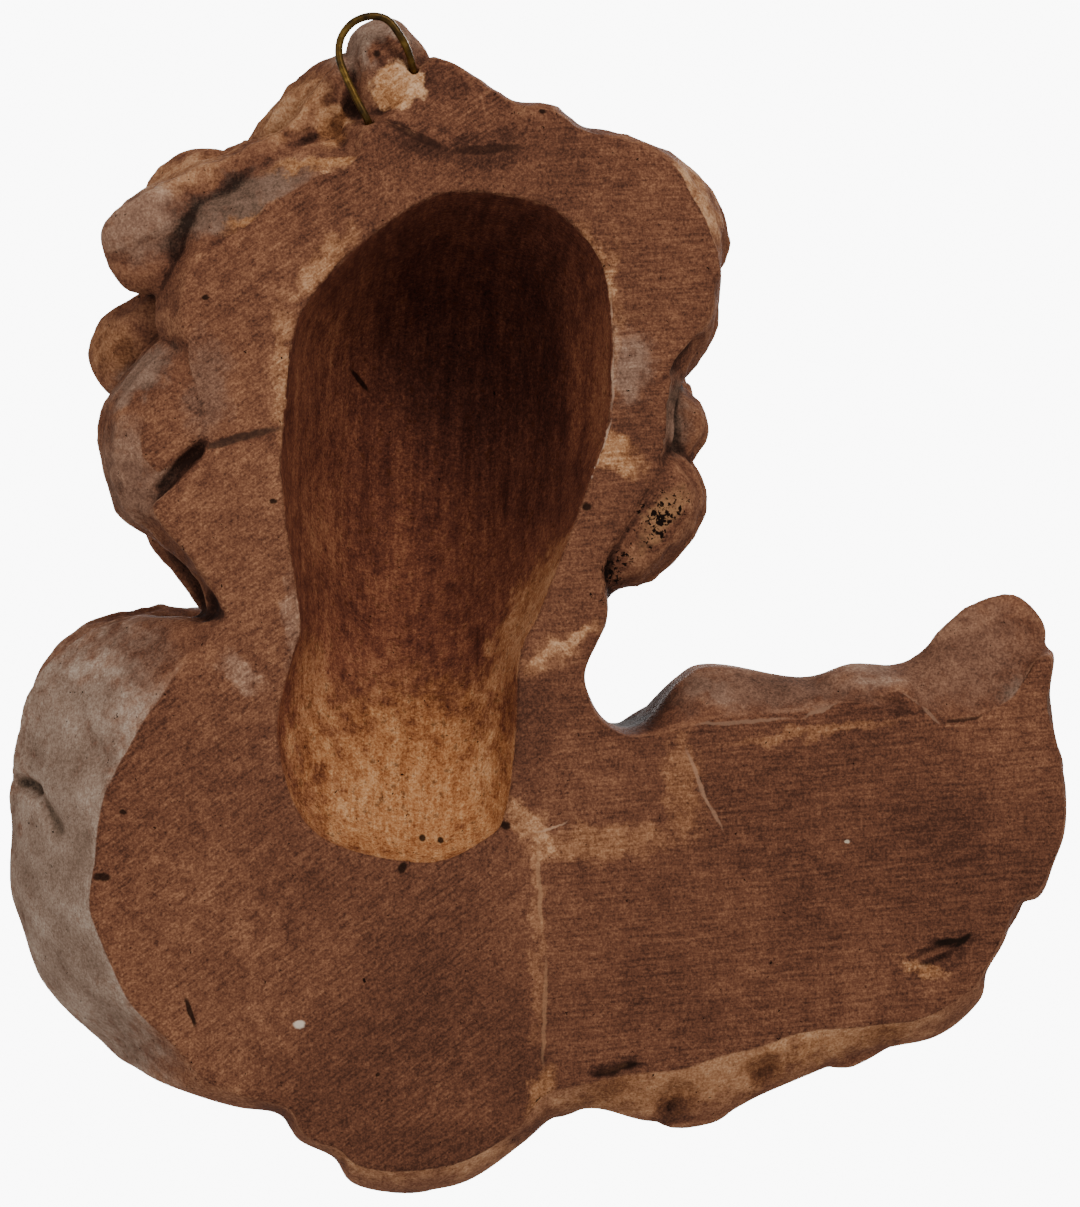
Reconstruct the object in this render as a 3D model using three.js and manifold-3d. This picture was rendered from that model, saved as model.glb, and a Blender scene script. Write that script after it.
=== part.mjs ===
// A carved wooden cherub head between two wings, made to hang on a wall.
// Millimetres, +Z up. The sawn back lies in the plane y = 0 and the face looks towards -Y.
// The origin is on the sawn back, just below the wire loop that the carving hangs from.
import * as THREE from "three";
import { mergeVertices } from "three/addons/utils/BufferGeometryUtils.js";
import Module from "manifold-3d";

const BLOCK_DEPTH = 60;              // how far the outline's walls reach before the front is cut
const HOLLOW = {
  deep: 54,                          // its deepest point, behind the face
  toe: 17,                           // the depth of its shallow lower end
  floor: { x: [-12, -6], z: [-40, -122] },  // the middle line of its floor
};
const HEAD = { at: [-12, -44, -48], radii: [38.5, 43, 45], turned: [-4, -3, 7] };
const HAIR = { at: [-10, -31, -38], radii: [54, 35, 56] };
const NAPE = { at: [-8, -24, -98], radii: [37, 30, 22] };
const WIRE_RADIUS = 0.8;
const WIRE_GAP = 0.35;               // free play of the wire in the holes that it was driven into
const OUTLINE_STEPS = 96;            // straight lengths that the curved outlines are made of
const RIM_STEPS = 36;
const WIRE_STEPS = 26;

const wasm = await Module();
wasm.setup();

const bell = (a, b = 0) => Math.exp(-a * a - b * b);
const mix = (a, b, t) => a + (b - a) * t;
const smooth = (a, b, v) => THREE.MathUtils.smoothstep(v, a, b);

// Moves each vertex of a geometry to where place(x, y, z) says.
function moved(geometry, place) {
  geometry.deleteAttribute("normal");
  geometry.deleteAttribute("uv");
  const spot = geometry.getAttribute("position");
  for (let i = 0; i < spot.count; i++) {
    spot.setXYZ(i, ...place(spot.getX(i), spot.getY(i), spot.getZ(i)));
  }
  return mergeVertices(geometry, 1e-4);
}

function solid(geometry) {
  const mesh = new wasm.Mesh({
    numProp: 3,
    vertProperties: new Float32Array(geometry.getAttribute("position").array),
    triVerts: new Uint32Array(geometry.index.array),
  });
  return new wasm.Manifold(mesh);
}

function geometryOf(body) {
  const mesh = body.getMesh();
  const geometry = new THREE.BufferGeometry();
  geometry.setAttribute("position", new THREE.BufferAttribute(mesh.vertProperties, 3));
  geometry.setIndex(new THREE.BufferAttribute(mesh.triVerts, 1));
  return geometry;
}

// A value that runs through a list's numbers as t goes from 0 to 1.
function along(list, t) {
  const at = Math.min(t * (list.length - 1), list.length - 1.0001);
  const k = Math.floor(at);
  return mix(list[k], list[k + 1], smooth(0, 1, at - k));
}

// A ball drawn out along a path: a lock of hair or a feather.
// wide and thick are lists of half sizes, and facing is the way that its broad side looks.
// The lower blunt is, the squarer its two ends are.
function drawn(points, wide, thick, facing, { around = 6, rings = 7, blunt = 0.62 } = {}) {
  const path = new THREE.CatmullRomCurve3(points.map((p) => new THREE.Vector3(...p)));
  return solid(moved(new THREE.SphereGeometry(1, around, rings), (x, y, z) => {
    const t = (1 - y) / 2;
    const ring = Math.hypot(x, z);
    const way = path.getTangent(t);
    const out = facing.clone().addScaledVector(way, -facing.dot(way)).normalize();
    const side = out.clone().cross(way);
    const full = ring > 1e-6 ? ring ** (blunt - 1) : 0;
    const spot = path.getPoint(t);
    spot.addScaledVector(side, x * full * along(wide, t));
    spot.addScaledVector(out, z * full * along(thick, t));
    return spot.toArray();
  }));
}

// The sawn outline and the carved walls round it.
// Each row has the sawn edge's x and z, and then how far the carved wall leans out from it.
// deep is how far down that is, and end is the share of it that is left at the block's full depth.
const STRETCHES = [
  { name: "crown", deep: 10, end: 1, rows: [
    [2.5, 8.3, -0.1, 5], [-4.2, 12.8, 0, 5.2], [-9.2, 20.6, -0.7, 4.4], [-13.6, 21.8, -1, 3.2],
    [-27.2, 14.5, -1.3, 2.9], [-35.3, 13.4, -1.5, 2.9], [-42, 8.7, -1.7, 2.8]] },
  { name: "hair on its right", deep: 10, end: 1, rows: [
    [-51.6, 7, -2, 3.4], [-60.7, 2.5, -5, 2.4], [-67.1, -6.9, -6.5, 0.7], [-71, -15.3, -2.4, -0.4],
    [-70.8, -24.2, -2.4, 1], [-68.2, -31.6, -3.4, -1], [-63.1, -38.6, -3, -2.4],
    [-60.7, -48.6, -2.8, 0.8], [-60.3, -54.9, -3, -0.4], [-58, -63.4, -3, -1],
    [-52.6, -71.8, -3, -0.7], [-46.7, -81.9, -2.4, -0.7]] },
  { name: "bay", deep: 10, end: 1, rows: [
    [-47.5, -90.1, -1.3, 0], [-46.9, -95.6, -1.3, -0.1], [-43.7, -102.4, -1.2, -0.2],
    [-43.1, -107, -1, -0.3], [-45.6, -114.1, -1.5, 0.4], [-50.9, -118, -1.2, 1],
    [-56.9, -118.8, -1, 3.8]] },
  { name: "top of its right wing", deep: 10, end: 1, rows: [
    [-65.4, -117.8, -0.2, 11.3], [-71.9, -115.5, -1, 11.8], [-89, -114.1, -3, 7.7],
    [-99.8, -111.4, -2.7, 8], [-110.2, -109.5, -2, 6]] },
  { name: "scooped tip", deep: 11, end: 1, rows: [
    [-114.6, -112.7, -3, 12], [-120.5, -117.2, -7, 24.9], [-127, -116.4, -9.5, 28.3],
    [-135.8, -111.1, -6.8, 18.8], [-140, -103, -6, 3.4], [-143.7, -102.1, -3.9, 0.4]] },
  { name: "end of its right wing", deep: 9, end: 1, rows: [
    [-143, -111.1, -3, -0.4], [-145.7, -126.2, -3.1, -0.6], [-146.6, -136.9, -3.1, -0.8],
    [-143.5, -147.1, -3, -1], [-140.4, -152.9, -3, -1.1], [-136.4, -154.6, -2.9, -1.2],
    [-133.2, -162, -2.8, -1.3], [-129.2, -168.8, -2.8, -1.4]] },
  { name: "chipped edge", deep: 9, end: 1, rows: [
    [-125.5, -173, -5, -4], [-115, -178.8, -6.4, -5.4], [-104.2, -179.9, -6.1, -6.8],
    [-89, -181, -5.8, -10.6], [-76.1, -183.9, -7, -12.5], [-65.4, -186.9, -5.2, -14.4],
    [-54.8, -188, -3, -13.8], [-44.2, -190.7, -2, -8], [-34.6, -193.1, -3.1, -7],
    [-28.3, -200.5, -2.2, -5.4]] },
  { name: "lower tip", deep: 9, end: 1, rows: [
    [-16.7, -207.4, -1.5, -6.4], [-4.2, -208.4, -1, -7.2], [4.6, -207.3, 0.5, -6],
    [8.3, -204.3, 1, -3.5], [15.6, -201.1, 1.4, -2.8], [18.7, -195.2, 2.4, -3.4],
    [27, -192.5, 3.2, -4.2], [36.2, -189, 8, -3]] },
  { name: "wall of its left wing", deep: 30, end: 0.55, rows: [
    [43.4, -180.8, 17, -5], [51.6, -172, 20.2, -1.5], [58.2, -157.9, 20, 1.6],
    [59.2, -149.6, 19.8, 2.6], [56.9, -132.7, 21.8, 0.6], [53.7, -124.4, 25, 2],
    [48.6, -116.2, 30.5, 5.5], [42.4, -107.5, 32, 6], [35.8, -100.1, 27, 7]] },
  { name: "notch under the hair", deep: 20, end: 0.8, rows: [
    [32.7, -95.1, 14, 2], [31.5, -92, 6.4, -1], [36.7, -83.9, 2.9, -0.9]] },
  { name: "hair on its left", deep: 11, end: 1, rows: [
    [44.5, -75, 3.1, -0.6], [47.5, -69.5, 4, -0.9], [41.8, -64.7, 2, 0.6], [36, -57.6, 1.9, 0.6],
    [36.7, -48.3, 2.9, 1.2], [39.3, -37.5, 5, 0.5], [41, -29.7, 6, 1]] },
  { name: "facet beside the long lock", deep: 8, end: 1, rows: [
    [36.7, -19.1, 4, 12], [28, -13.3, 3, 13], [15.6, -4.6, 3.5, 10.8]] },
  { name: "foot of the tuft", deep: 11, end: 1, rows: [[5.8, -0.7, 4.1, 11.3], [3.3, 4.1, 4.5, 9.8]] },
];
const sawn = [];
const leaning = [];
const ends = [];
for (const { deep, end, rows } of STRETCHES) {
  for (const [x, z, leanX, leanZ] of rows) {
    sawn.push(new THREE.Vector3(x, 0, z));
    leaning.push(new THREE.Vector3(leanX, deep, leanZ));
    ends.push(new THREE.Vector3(end, 0, 0));
  }
}
const CURVE_TENSION = 0.5;
const closed = (points) => new THREE.CatmullRomCurve3(points, true, "catmullrom", CURVE_TENSION);
const sawnEdge = closed(sawn);
const lean = closed(leaning);
const endLean = closed(ends);

// The outline's walls go down in rings: each is a share of the way down and of the way out,
// and the last one lies at the block's full depth.
const WALL = [[0, 0], [0.45, 0.62], [1, 1]];
const outline = [];
for (let i = 0; i < OUTLINE_STEPS; i++) {
  const p = sawnEdge.getPoint(i / OUTLINE_STEPS);
  outline.push(new THREE.Vector2(p.x, p.z));
}
function stationAt(x, z) {
  const gaps = outline.map((p) => Math.hypot(p.x - x, p.y - z));
  return gaps.indexOf(Math.min(...gaps)) / OUTLINE_STEPS;
}
const rings = { depth: WALL.length, steps: WALL.length, bevelEnabled: false };
const block = solid(moved(new THREE.ExtrudeGeometry(new THREE.Shape(outline), rings), (x, z, ring) => {
  const t = stationAt(x, z);
  const { x: leanX, y: deep, z: leanZ } = lean.getPoint(t);
  const [down, out] = WALL[Math.round(ring)] ?? [BLOCK_DEPTH / deep, endLean.getPoint(t).x];
  return [x + leanX * out, -deep * down, z + leanZ * out];
}));

// The front of the wings before the feathers were cut: two swellings that fall off to thin edges.
const THIN_EDGE = 11;
const SWELLINGS = [
  { name: "breast", high: 27, x: -24, z: -116, halfWide: 46, halfTall: 38 },
  { name: "curled wing", high: 32, x: 56, z: -144, halfWide: 31, halfTall: 46 },
];
function front(x, z) {
  let out = THIN_EDGE;
  for (const swelling of SWELLINGS) {
    out += swelling.high * bell((x - swelling.x) / swelling.halfWide, (z - swelling.z) / swelling.halfTall);
  }
  return -out;
}
const FRONT = { left: -160, right: 100, low: -225, high: 50, behind: 10, squares: 14 };
const frontGrid = new THREE.BoxGeometry(1, 1, 1, FRONT.squares, FRONT.squares, 1);
const frontCut = solid(moved(frontGrid, (x, y, z) => {
  const px = mix(FRONT.left, FRONT.right, x + 0.5);
  const pz = mix(FRONT.low, FRONT.high, y + 0.5);
  return [px, z > 0 ? front(px, pz) : FRONT.behind, pz];
}));

let carving = block.intersect(frontCut);

// Feathers: three layers on each wing, from the arm of the wing to its edge.
// arm and tips are [x, z] rows across the wing, from its outer side to the middle.
const WINGS = [
  { name: "right", width: 14,
    arm: [[-107, -127.5], [-91, -115], [-79, -117], [-65, -119], [-49, -120], [-34, -118], [-19, -115]],
    tips: [[-142, -91.3], [-148.5, -131], [-137, -161.5], [-107, -189], [-69, -203], [-36, -200.5],
      [-4, -216]] },
  { name: "left", width: 13,
    arm: [[64, -110], [53, -110], [41, -111], [27, -111], [11, -111]],
    tips: [[73.5, -143], [69, -168], [50, -188], [30, -196.5], [11, -205]] },
];
// How far each layer reaches down the wing, how high it lies on it, and its half sizes.
const LAYERS = [
  { reach: 1, lift: 1.5, width: 1.08, thick: 4.4, shift: 0 },
  { reach: 0.7, lift: 3.5, width: 0.95, thick: 4.2, shift: 0.5 },
  { reach: 0.42, lift: 6, width: 0.85, thick: 4.2, shift: 0 },
];
function feather(root, tip, width, thick, lift) {
  const points = [0, 0.35, 0.7, 1].map((t) => {
    const x = mix(root[0], tip[0], t);
    const z = mix(root[1], tip[1], t);
    return [x, front(x, z) + 2 - lift * (1 - 0.35 * t), z];
  });
  const middle = [mix(root[0], tip[0], 0.6), mix(root[1], tip[1], 0.6)];
  const slopeX = (front(middle[0] + 1, middle[1]) - front(middle[0] - 1, middle[1])) / 2;
  const slopeZ = (front(middle[0], middle[1] + 1) - front(middle[0], middle[1] - 1)) / 2;
  const facing = new THREE.Vector3(slopeX, -1, slopeZ).normalize();
  const wide = [0.6, 0.85, 1, 0.95].map((share) => share * width);
  return drawn(points, wide, [thick, thick, thick, thick * 0.8], facing, { rings: 5, blunt: 0.5 });
}
for (const { arm, tips, width } of WINGS) {
  for (const layer of LAYERS) {
    for (let i = 0; i + layer.shift <= arm.length - 1; i++) {
      const k = Math.floor(i + layer.shift);
      const next = Math.min(k + 1, arm.length - 1);
      const root = [0, 1].map((n) => mix(arm[k][n], arm[next][n], layer.shift));
      const edge = [0, 1].map((n) => mix(tips[k][n], tips[next][n], layer.shift));
      const tip = [0, 1].map((n) => mix(root[n], edge[n], layer.reach));
      const slim = k === 0 ? 0.75 : 1;
      carving = carving.add(feather(root, tip, width * layer.width * slim, layer.thick, layer.lift));
    }
  }
}

// The arm of each wing: a rounded ridge that the feathers hang from.
const OUTWARD = new THREE.Vector3(0, -1, 0);
const ARMS = [
  { points: [[-8, -46, -106], [-26, -43, -116], [-47, -38, -130], [-66, -26, -120.5], [-78, -19, -115],
      [-98, -16, -114], [-122, -17, -105]],
    radii: [9, 10, 9, 9.5, 9.5, 8, 5.5] },
  { points: [[-14, -48, -106], [8, -48, -103], [32, -45, -102], [57, -40, -102.5], [73.5, -35, -112]],
    radii: [9, 11, 11, 11, 9] },
];
for (const { points, radii } of ARMS) {
  carving = carving.add(drawn(points, radii, radii, OUTWARD, { around: 7, rings: 10 }));
}

// The head: a grid pulled into the shape of a child's head.
// Each feature is a soft swelling or dent of the face, so many millimetres out of it. Its two pairs
// are where it lies and how far it spreads, across the face on both sides and up from its middle.
const FEATURES = [
  { name: "forehead", out: 2.5, across: [0, 26], up: [24, 16] },
  { name: "brows", out: 1.6, across: [15, 11], up: [7, 4.5] },
  { name: "eye sockets", out: -5.2, across: [14.5, 9.5], up: [-2.5, 6.5] },
  { name: "eyeballs", out: 3.9, across: [15, 6.6], up: [-3.5, 4.4] },
  { name: "bridge of the nose", out: 5, across: [0, 4.6], up: [-6, 10] },
  { name: "tip of the nose", out: 8, across: [0, 5.2], up: [-16.5, 5] },
  { name: "wings of the nose", out: 4.2, across: [5.6, 3], up: [-18.5, 3.2] },
  { name: "mouth", out: 3.4, across: [0, 13], up: [-28, 7] },
  { name: "upper lip", out: 2, across: [0, 7.5], up: [-25.6, 2.2] },
  { name: "line of the lips", out: -2, across: [0, 9.5], up: [-28.2, 1.5] },
  { name: "lower lip", out: 2.3, across: [0, 6.2], up: [-31, 2.3] },
  { name: "dent under the lip", out: -1.7, across: [0, 8], up: [-35, 2.4] },
  { name: "chin", out: 4.6, across: [0, 9], up: [-40, 5.5] },
  { name: "cheeks", out: 4.8, across: [20, 11], up: [-19, 11] },
];
function faceRelief(a, b) {
  let total = 0;
  for (const { out, across, up } of FEATURES) {
    total += out * bell((Math.abs(a) - across[0]) / across[1], (b - up[0]) / up[1]);
  }
  return total;
}
const JAW_NARROWER = 0.14;
const headTurn = new THREE.Euler(...HEAD.turned.map(THREE.MathUtils.degToRad));
// The grid's lines are set by the angle at which they leave the head's middle: they lie closer
// together across the eyes, nose and mouth than on the brow and at the sides.
const GRID = { across: 20, up: 24, deep: 2, flat: 0.5 };
const MIDDLE_ANGLE = 43;
const SIDE_ANGLE = 18;
const LOW_ANGLE = -68;
const BROW_ANGLE = 12;
const TOP_ANGLE = 58;
const slope = (degrees) => GRID.flat * Math.tan(THREE.MathUtils.degToRad(degrees));
const headGrid = new THREE.BoxGeometry(2, 2, 2, GRID.across, GRID.up, GRID.deep);
const head = solid(moved(headGrid, (x, y, z) => {
  const across = slope(MIDDLE_ANGLE * x + SIDE_ANGLE * x ** 3);
  const face = mix(LOW_ANGLE, BROW_ANGLE, (y + 1) / 1.5);
  const forehead = mix(BROW_ANGLE, TOP_ANGLE, (y - 0.5) / 0.5);
  const way = new THREE.Vector3(across, slope(y < 0.5 ? face : forehead), z * GRID.flat).normalize();
  const a = way.x * HEAD.radii[0] * (1 - JAW_NARROWER * smooth(0.1, 0.9, -way.y));
  const b = way.y * HEAD.radii[2];
  const c = way.z * HEAD.radii[1] + (z > 0 ? faceRelief(a, b) * smooth(0.15, 0.6, way.z) : 0);
  return new THREE.Vector3(a, -c, b).applyEuler(headTurn).add(new THREE.Vector3(...HEAD.at)).toArray();
}));
carving = carving.add(head);

// The mass of the hair and the nape of the neck, which the locks and the arms grow out of.
const ball = ({ at, radii }) => solid(moved(
  new THREE.SphereGeometry(1, 12, 8),
  (x, y, z) => [at[0] + x * radii[0], at[1] - z * radii[1], at[2] + y * radii[2]],
));
carving = carving.add(ball(HAIR)).add(ball(NAPE));

// A comma-shaped curl on the hair, at an angle round the head and a height, both in degrees.
const CURL_START = 115;
const CURL_STEP = 43;
const CURL_BENDS = 5;
function curl(round, height, size, turn) {
  const az = THREE.MathUtils.degToRad(round);
  const el = THREE.MathUtils.degToRad(height);
  const out = new THREE.Vector3(Math.sin(az) * Math.cos(el), -Math.cos(az) * Math.cos(el), Math.sin(el));
  const middle = out.clone().multiply(new THREE.Vector3(...HAIR.radii)).add(new THREE.Vector3(...HAIR.at));
  const facing = out.clone().divide(new THREE.Vector3(...HAIR.radii)).normalize();
  const level = new THREE.Vector3(0, 0, 1).cross(facing).normalize();
  const rise = facing.clone().cross(level);
  const points = [];
  for (let k = 0; k <= CURL_BENDS; k++) {
    const angle = THREE.MathUtils.degToRad(CURL_START - turn * k * CURL_STEP);
    const reach = size * mix(1, 0.62, k / CURL_BENDS);
    const spot = middle.clone().addScaledVector(facing, size * mix(-0.2, 0.3, k / CURL_BENDS));
    spot.addScaledVector(level, Math.cos(angle) * reach).addScaledVector(rise, Math.sin(angle) * reach);
    points.push(spot.toArray());
  }
  const thick = [0.35, 0.58, 0.62, 0.56, 0.45].map((share) => share * size);
  return drawn(points, thick, thick, facing, { rings: 6 });
}
const CURL_ROWS = [
  { height: 84, rounds: [-90], size: 9.5 },
  { height: 78, rounds: [90], size: 12 },
  { height: 46, rounds: [-62, -21, 21, 62], size: 12 },
  { height: 20, rounds: [-63, 63], size: 12 },
  { height: -5, rounds: [-68, 68], size: 11.5 },
  { height: -34, rounds: [-66, 66], size: 11 },
  { height: 24, rounds: [-98], size: 11 },
  { height: -8, rounds: [-98], size: 11 },
];
for (const { height, rounds, size } of CURL_ROWS) {
  for (const round of rounds) {
    carving = carving.add(curl(round, height, size, round < 0 ? 1 : -1));
  }
}

// The locks that make the outline as it is seen from behind: their paths and their half widths.
// thick is a lock's half depth, where it isn't as deep as it is wide.
const LOCKS = [
  { name: "top tuft", points: [[-3, -15, -2], [-3, -14, 12], [-1.8, -13.5, 24], [0, -14, 34]],
    radii: [9, 10.5, 10.5, 8.5] },
  { name: "behind the tuft", points: [[-4, -17, 14], [-16, -18, 13], [-30, -19, 8], [-42, -21, -2]],
    radii: [6, 8, 8, 5] },
  { name: "long lock to its left",
    points: [[7, -10, 26], [13, -11, 12], [25, -12, 1], [37, -13, -6.5], [48, -13, -12.5], [57, -14, -17]],
    radii: [3, 6, 8.5, 10, 12, 12.5], thick: [3, 5, 7.5, 9.5, 12, 12.5] },
  { name: "behind the long lock", points: [[18, -24, -3], [39, -28, 2.5], [48.5, -30, -6]],
    radii: [6, 6.5, 6] },
  { name: "left of the tuft", points: [[4, -18, 26], [10.5, -21, 19.3], [18, -24, 13.5], [26.5, -27, 5]],
    radii: [6, 7.5, 7, 6] },
  { name: "curl end", points: [[32, -20, -30], [45, -23, -30], [53.5, -26, -35], [54.5, -27, -46]],
    radii: [7, 8.5, 8.5, 7] },
  { name: "lock over the ear",
    points: [[30, -12, -33], [39.5, -12, -43], [43.5, -12.5, -54], [43.5, -12.5, -66], [38, -13, -77]],
    radii: [7, 13.5, 17, 15, 8], thick: [7, 12, 13.2, 12.6, 8] },
  { name: "lock behind the ear", points: [[34, -18, -56], [43.5, -21, -69], [37, -22, -82], [29, -22, -95]],
    radii: [7, 8, 7, 6] },
  { name: "neck lock", points: [[36, -29, -68], [36, -31, -81.5], [28, -29, -96]], radii: [7, 7, 6] },
  { name: "round lock to its right",
    points: [[-44, -14, 0], [-57, -14, 1], [-66, -14, -6], [-69, -14, -14], [-66, -13, -25]],
    radii: [5, 8, 8.5, 8, 6] },
  { name: "lock below it", points: [[-62, -12, -13], [-68, -12, -27], [-64, -12, -42]],
    radii: [5, 6.5, 5] },
  { name: "small curl", points: [[-57, -12, -42], [-65.7, -12, -52], [-63, -12, -61]], radii: [5, 6, 5] },
  { name: "worm-eaten lock",
    points: [[-50, -10, -56], [-61.3, -9.5, -66.5], [-56.5, -9.5, -77], [-44, -10, -87]],
    radii: [7, 10, 9, 6], thick: [7, 9.9, 9.7, 7] },
];
for (const { points, radii, thick = radii } of LOCKS) {
  carving = carving.add(drawn(points, radii, thick, OUTWARD));
}

// The back: the block is sawn flat behind everything.
const SAWN_OFF = { wide: 400, deep: 40, middle: -90 };
const offBack = solid(moved(
  new THREE.BoxGeometry(SAWN_OFF.wide, SAWN_OFF.wide, SAWN_OFF.deep),
  (x, y, z) => [x, z + SAWN_OFF.deep / 2, y + SAWN_OFF.middle],
));
carving = carving.subtract(offBack);

// The bevel above the hook: a knife took the top of the back off in a slope. Its lower edge is a
// shallow V, and it runs out before the crown's right end.
const BEVEL = {
  profile: [[1, 1.2], [1, 40], [-6.8, 37.2], [-5.2, 21.2], [-2, 9.2]],  // y and z
  from: -34, to: 8, steps: 7,
  lowest: -16, riseRight: 0.14, riseLeft: 0.38,
  fades: [-35, -27],
};
const bevelShape = new THREE.Shape(BEVEL.profile.map((p) => new THREE.Vector2(...p)));
const bevelRun = { depth: BEVEL.to - BEVEL.from, steps: BEVEL.steps, bevelEnabled: false };
const bevelCut = solid(moved(new THREE.ExtrudeGeometry(bevelShape, bevelRun), (y, z, run) => {
  const x = BEVEL.from + run;
  const past = x - BEVEL.lowest;
  const rise = past > 0 ? BEVEL.riseLeft * past : -BEVEL.riseRight * past;
  return [x, mix(1, y, smooth(...BEVEL.fades, x)), z + rise];
}));
carving = carving.subtract(bevelCut);

// The hollow gouged into the back: it falls from its rim to a floor line that runs down the middle.
const RIM = [
  [-18.8, -4.1], [-31.5, -5.8], [-38, -8.6], [-46.3, -18.2], [-48.8, -32.9], [-48, -51.8], [-42.7, -68.7],
  [-33.6, -91.8], [-29.4, -101.3], [-28.4, -119.1], [-26.2, -134.8], [-22, -140], [-10.4, -144.7],
  [8.3, -141.2], [17.3, -133.4], [21.4, -117], [18.1, -101.2], [16.6, -93.9], [19.9, -70], [20.4, -58.6],
  [18.7, -39.8], [15.6, -28.6], [3.8, -15.3], [-9.4, -6.1],
];
const rim = closed(RIM.map(([x, z]) => new THREE.Vector3(x, 0, z)));
const NEARLY_ON_AXIS = 0.001;
const ABOVE_BACK = 5;
const GOUGED = [NEARLY_ON_AXIS, 0.36, 0.62, 0.82, 0.94, 1];
const bowl = GOUGED.map((share) => new THREE.Vector2(share, -1));
bowl.push(new THREE.Vector2(1, 1), new THREE.Vector2(NEARLY_ON_AXIS, 1));
const hollow = solid(moved(new THREE.LatheGeometry(bowl, RIM_STEPS), (x, y, z) => {
  const reach = Math.hypot(x, z);
  const share = reach < 2 * NEARLY_ON_AXIS ? 0 : Math.min(reach, 1);
  const turn = (Math.atan2(x, z) / (2 * Math.PI) + 1) % 1;
  const round = Math.round((1 - turn) * RIM_STEPS) / RIM_STEPS % 1;
  const edge = rim.getPoint(round);
  const { x: floorX, z: floorZ } = HOLLOW.floor;
  const down = (1 - Math.cos(round * 2 * Math.PI)) / 2;
  const px = mix(mix(...floorX, down), edge.x, share);
  const pz = mix(mix(...floorZ, down), edge.z, share);
  const deep = mix(HOLLOW.toe, HOLLOW.deep, smooth(-134, -66, pz));
  return [px, y > 0 ? ABOVE_BACK : -deep * (1 - share ** 2.4) ** 0.62, pz];
}));
carving = carving.subtract(hollow);

// The wire that it hangs from, and the holes that its two ends were driven into.
const WIRE = [
  [-7.4, -9, 20.6], [-7.1, -5.6, 22.6], [-6, -3.2, 25.6], [-4.3, -2, 28.6], [-1.6, -1.7, 31.8],
  [1.6, -1.6, 32.5], [5.4, -1.6, 31.2], [8, -1.6, 28], [8.5, -1.7, 24], [7, -1.8, 19.6],
  [4.8, -2, 15], [2.6, -2.6, 11], [1.5, -5.4, 8.6], [1.2, -9.4, 7.6],
];
const wirePath = new THREE.CatmullRomCurve3(WIRE.map((p) => new THREE.Vector3(...p)));
function tube(radius) {
  const round = new THREE.Shape().absarc(0, 0, radius, 0, Math.PI * 2);
  const run = { steps: WIRE_STEPS, curveSegments: 3, extrudePath: wirePath, bevelEnabled: false };
  return solid(moved(new THREE.ExtrudeGeometry(round, run), (x, y, z) => [x, y, z]));
}
carving = carving.subtract(tube(WIRE_RADIUS + WIRE_GAP));

// Small spaces shut in between the curls are wood: only the outer skin is kept.
carving = carving.decompose().sort((a, b) => b.volume() - a.volume())[0];

// Stained limewood, nearly matt, and tarnished brass.
const wood = new THREE.MeshStandardMaterial({ color: "#6a4630", roughness: 0.75, metalness: 0 });
const brass = new THREE.MeshStandardMaterial({ color: "#6d5526", roughness: 0.45, metalness: 0.9 });
const group = new THREE.Group();
group.name = "angel_carving";
function piece(name, body, material) {
  const mesh = new THREE.Mesh(geometryOf(body), material);
  mesh.name = name;
  group.add(mesh);
}
piece("carving", carving, wood);
piece("hanging_wire", tube(WIRE_RADIUS), brass);

export default group;
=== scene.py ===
"""A carved wooden cherub head between two wings, made to hang from a wire loop, seen from its sawn back."""
import math

import bmesh
import bpy
import numpy as np
from mathutils import Matrix, Vector


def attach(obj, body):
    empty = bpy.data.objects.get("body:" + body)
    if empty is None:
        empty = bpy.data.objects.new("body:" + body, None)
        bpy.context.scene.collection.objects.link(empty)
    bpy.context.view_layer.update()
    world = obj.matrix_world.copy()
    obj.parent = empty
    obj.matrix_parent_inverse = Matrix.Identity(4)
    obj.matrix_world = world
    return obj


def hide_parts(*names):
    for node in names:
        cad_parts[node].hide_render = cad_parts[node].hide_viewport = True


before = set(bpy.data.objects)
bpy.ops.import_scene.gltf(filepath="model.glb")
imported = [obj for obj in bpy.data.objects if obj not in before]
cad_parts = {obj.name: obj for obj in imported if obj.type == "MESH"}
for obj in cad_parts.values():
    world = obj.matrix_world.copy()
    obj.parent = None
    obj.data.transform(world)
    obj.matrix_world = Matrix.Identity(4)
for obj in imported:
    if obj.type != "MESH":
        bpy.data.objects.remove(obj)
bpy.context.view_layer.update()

# Camera: level with the middle of the carving, looking at the sawn back from six degrees to one side.
# The long side of the picture takes in 253 mm at the carving.
EYE = Vector((24.96, 556.93, -90.46)) * 0.001
AIM = Vector((-33.57, 0, -90.46)) * 0.001
lens = bpy.data.cameras.new("camera")
lens.sensor_width = 36
lens.lens = 79.5
lens.clip_start = 0.01
camera = bpy.data.objects.new("camera", lens)
camera.location = EYE
camera.rotation_euler = (AIM - EYE).to_track_quat("-Z", "Y").to_euler()
bpy.context.scene.collection.objects.link(camera)
bpy.context.scene.camera = camera


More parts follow.
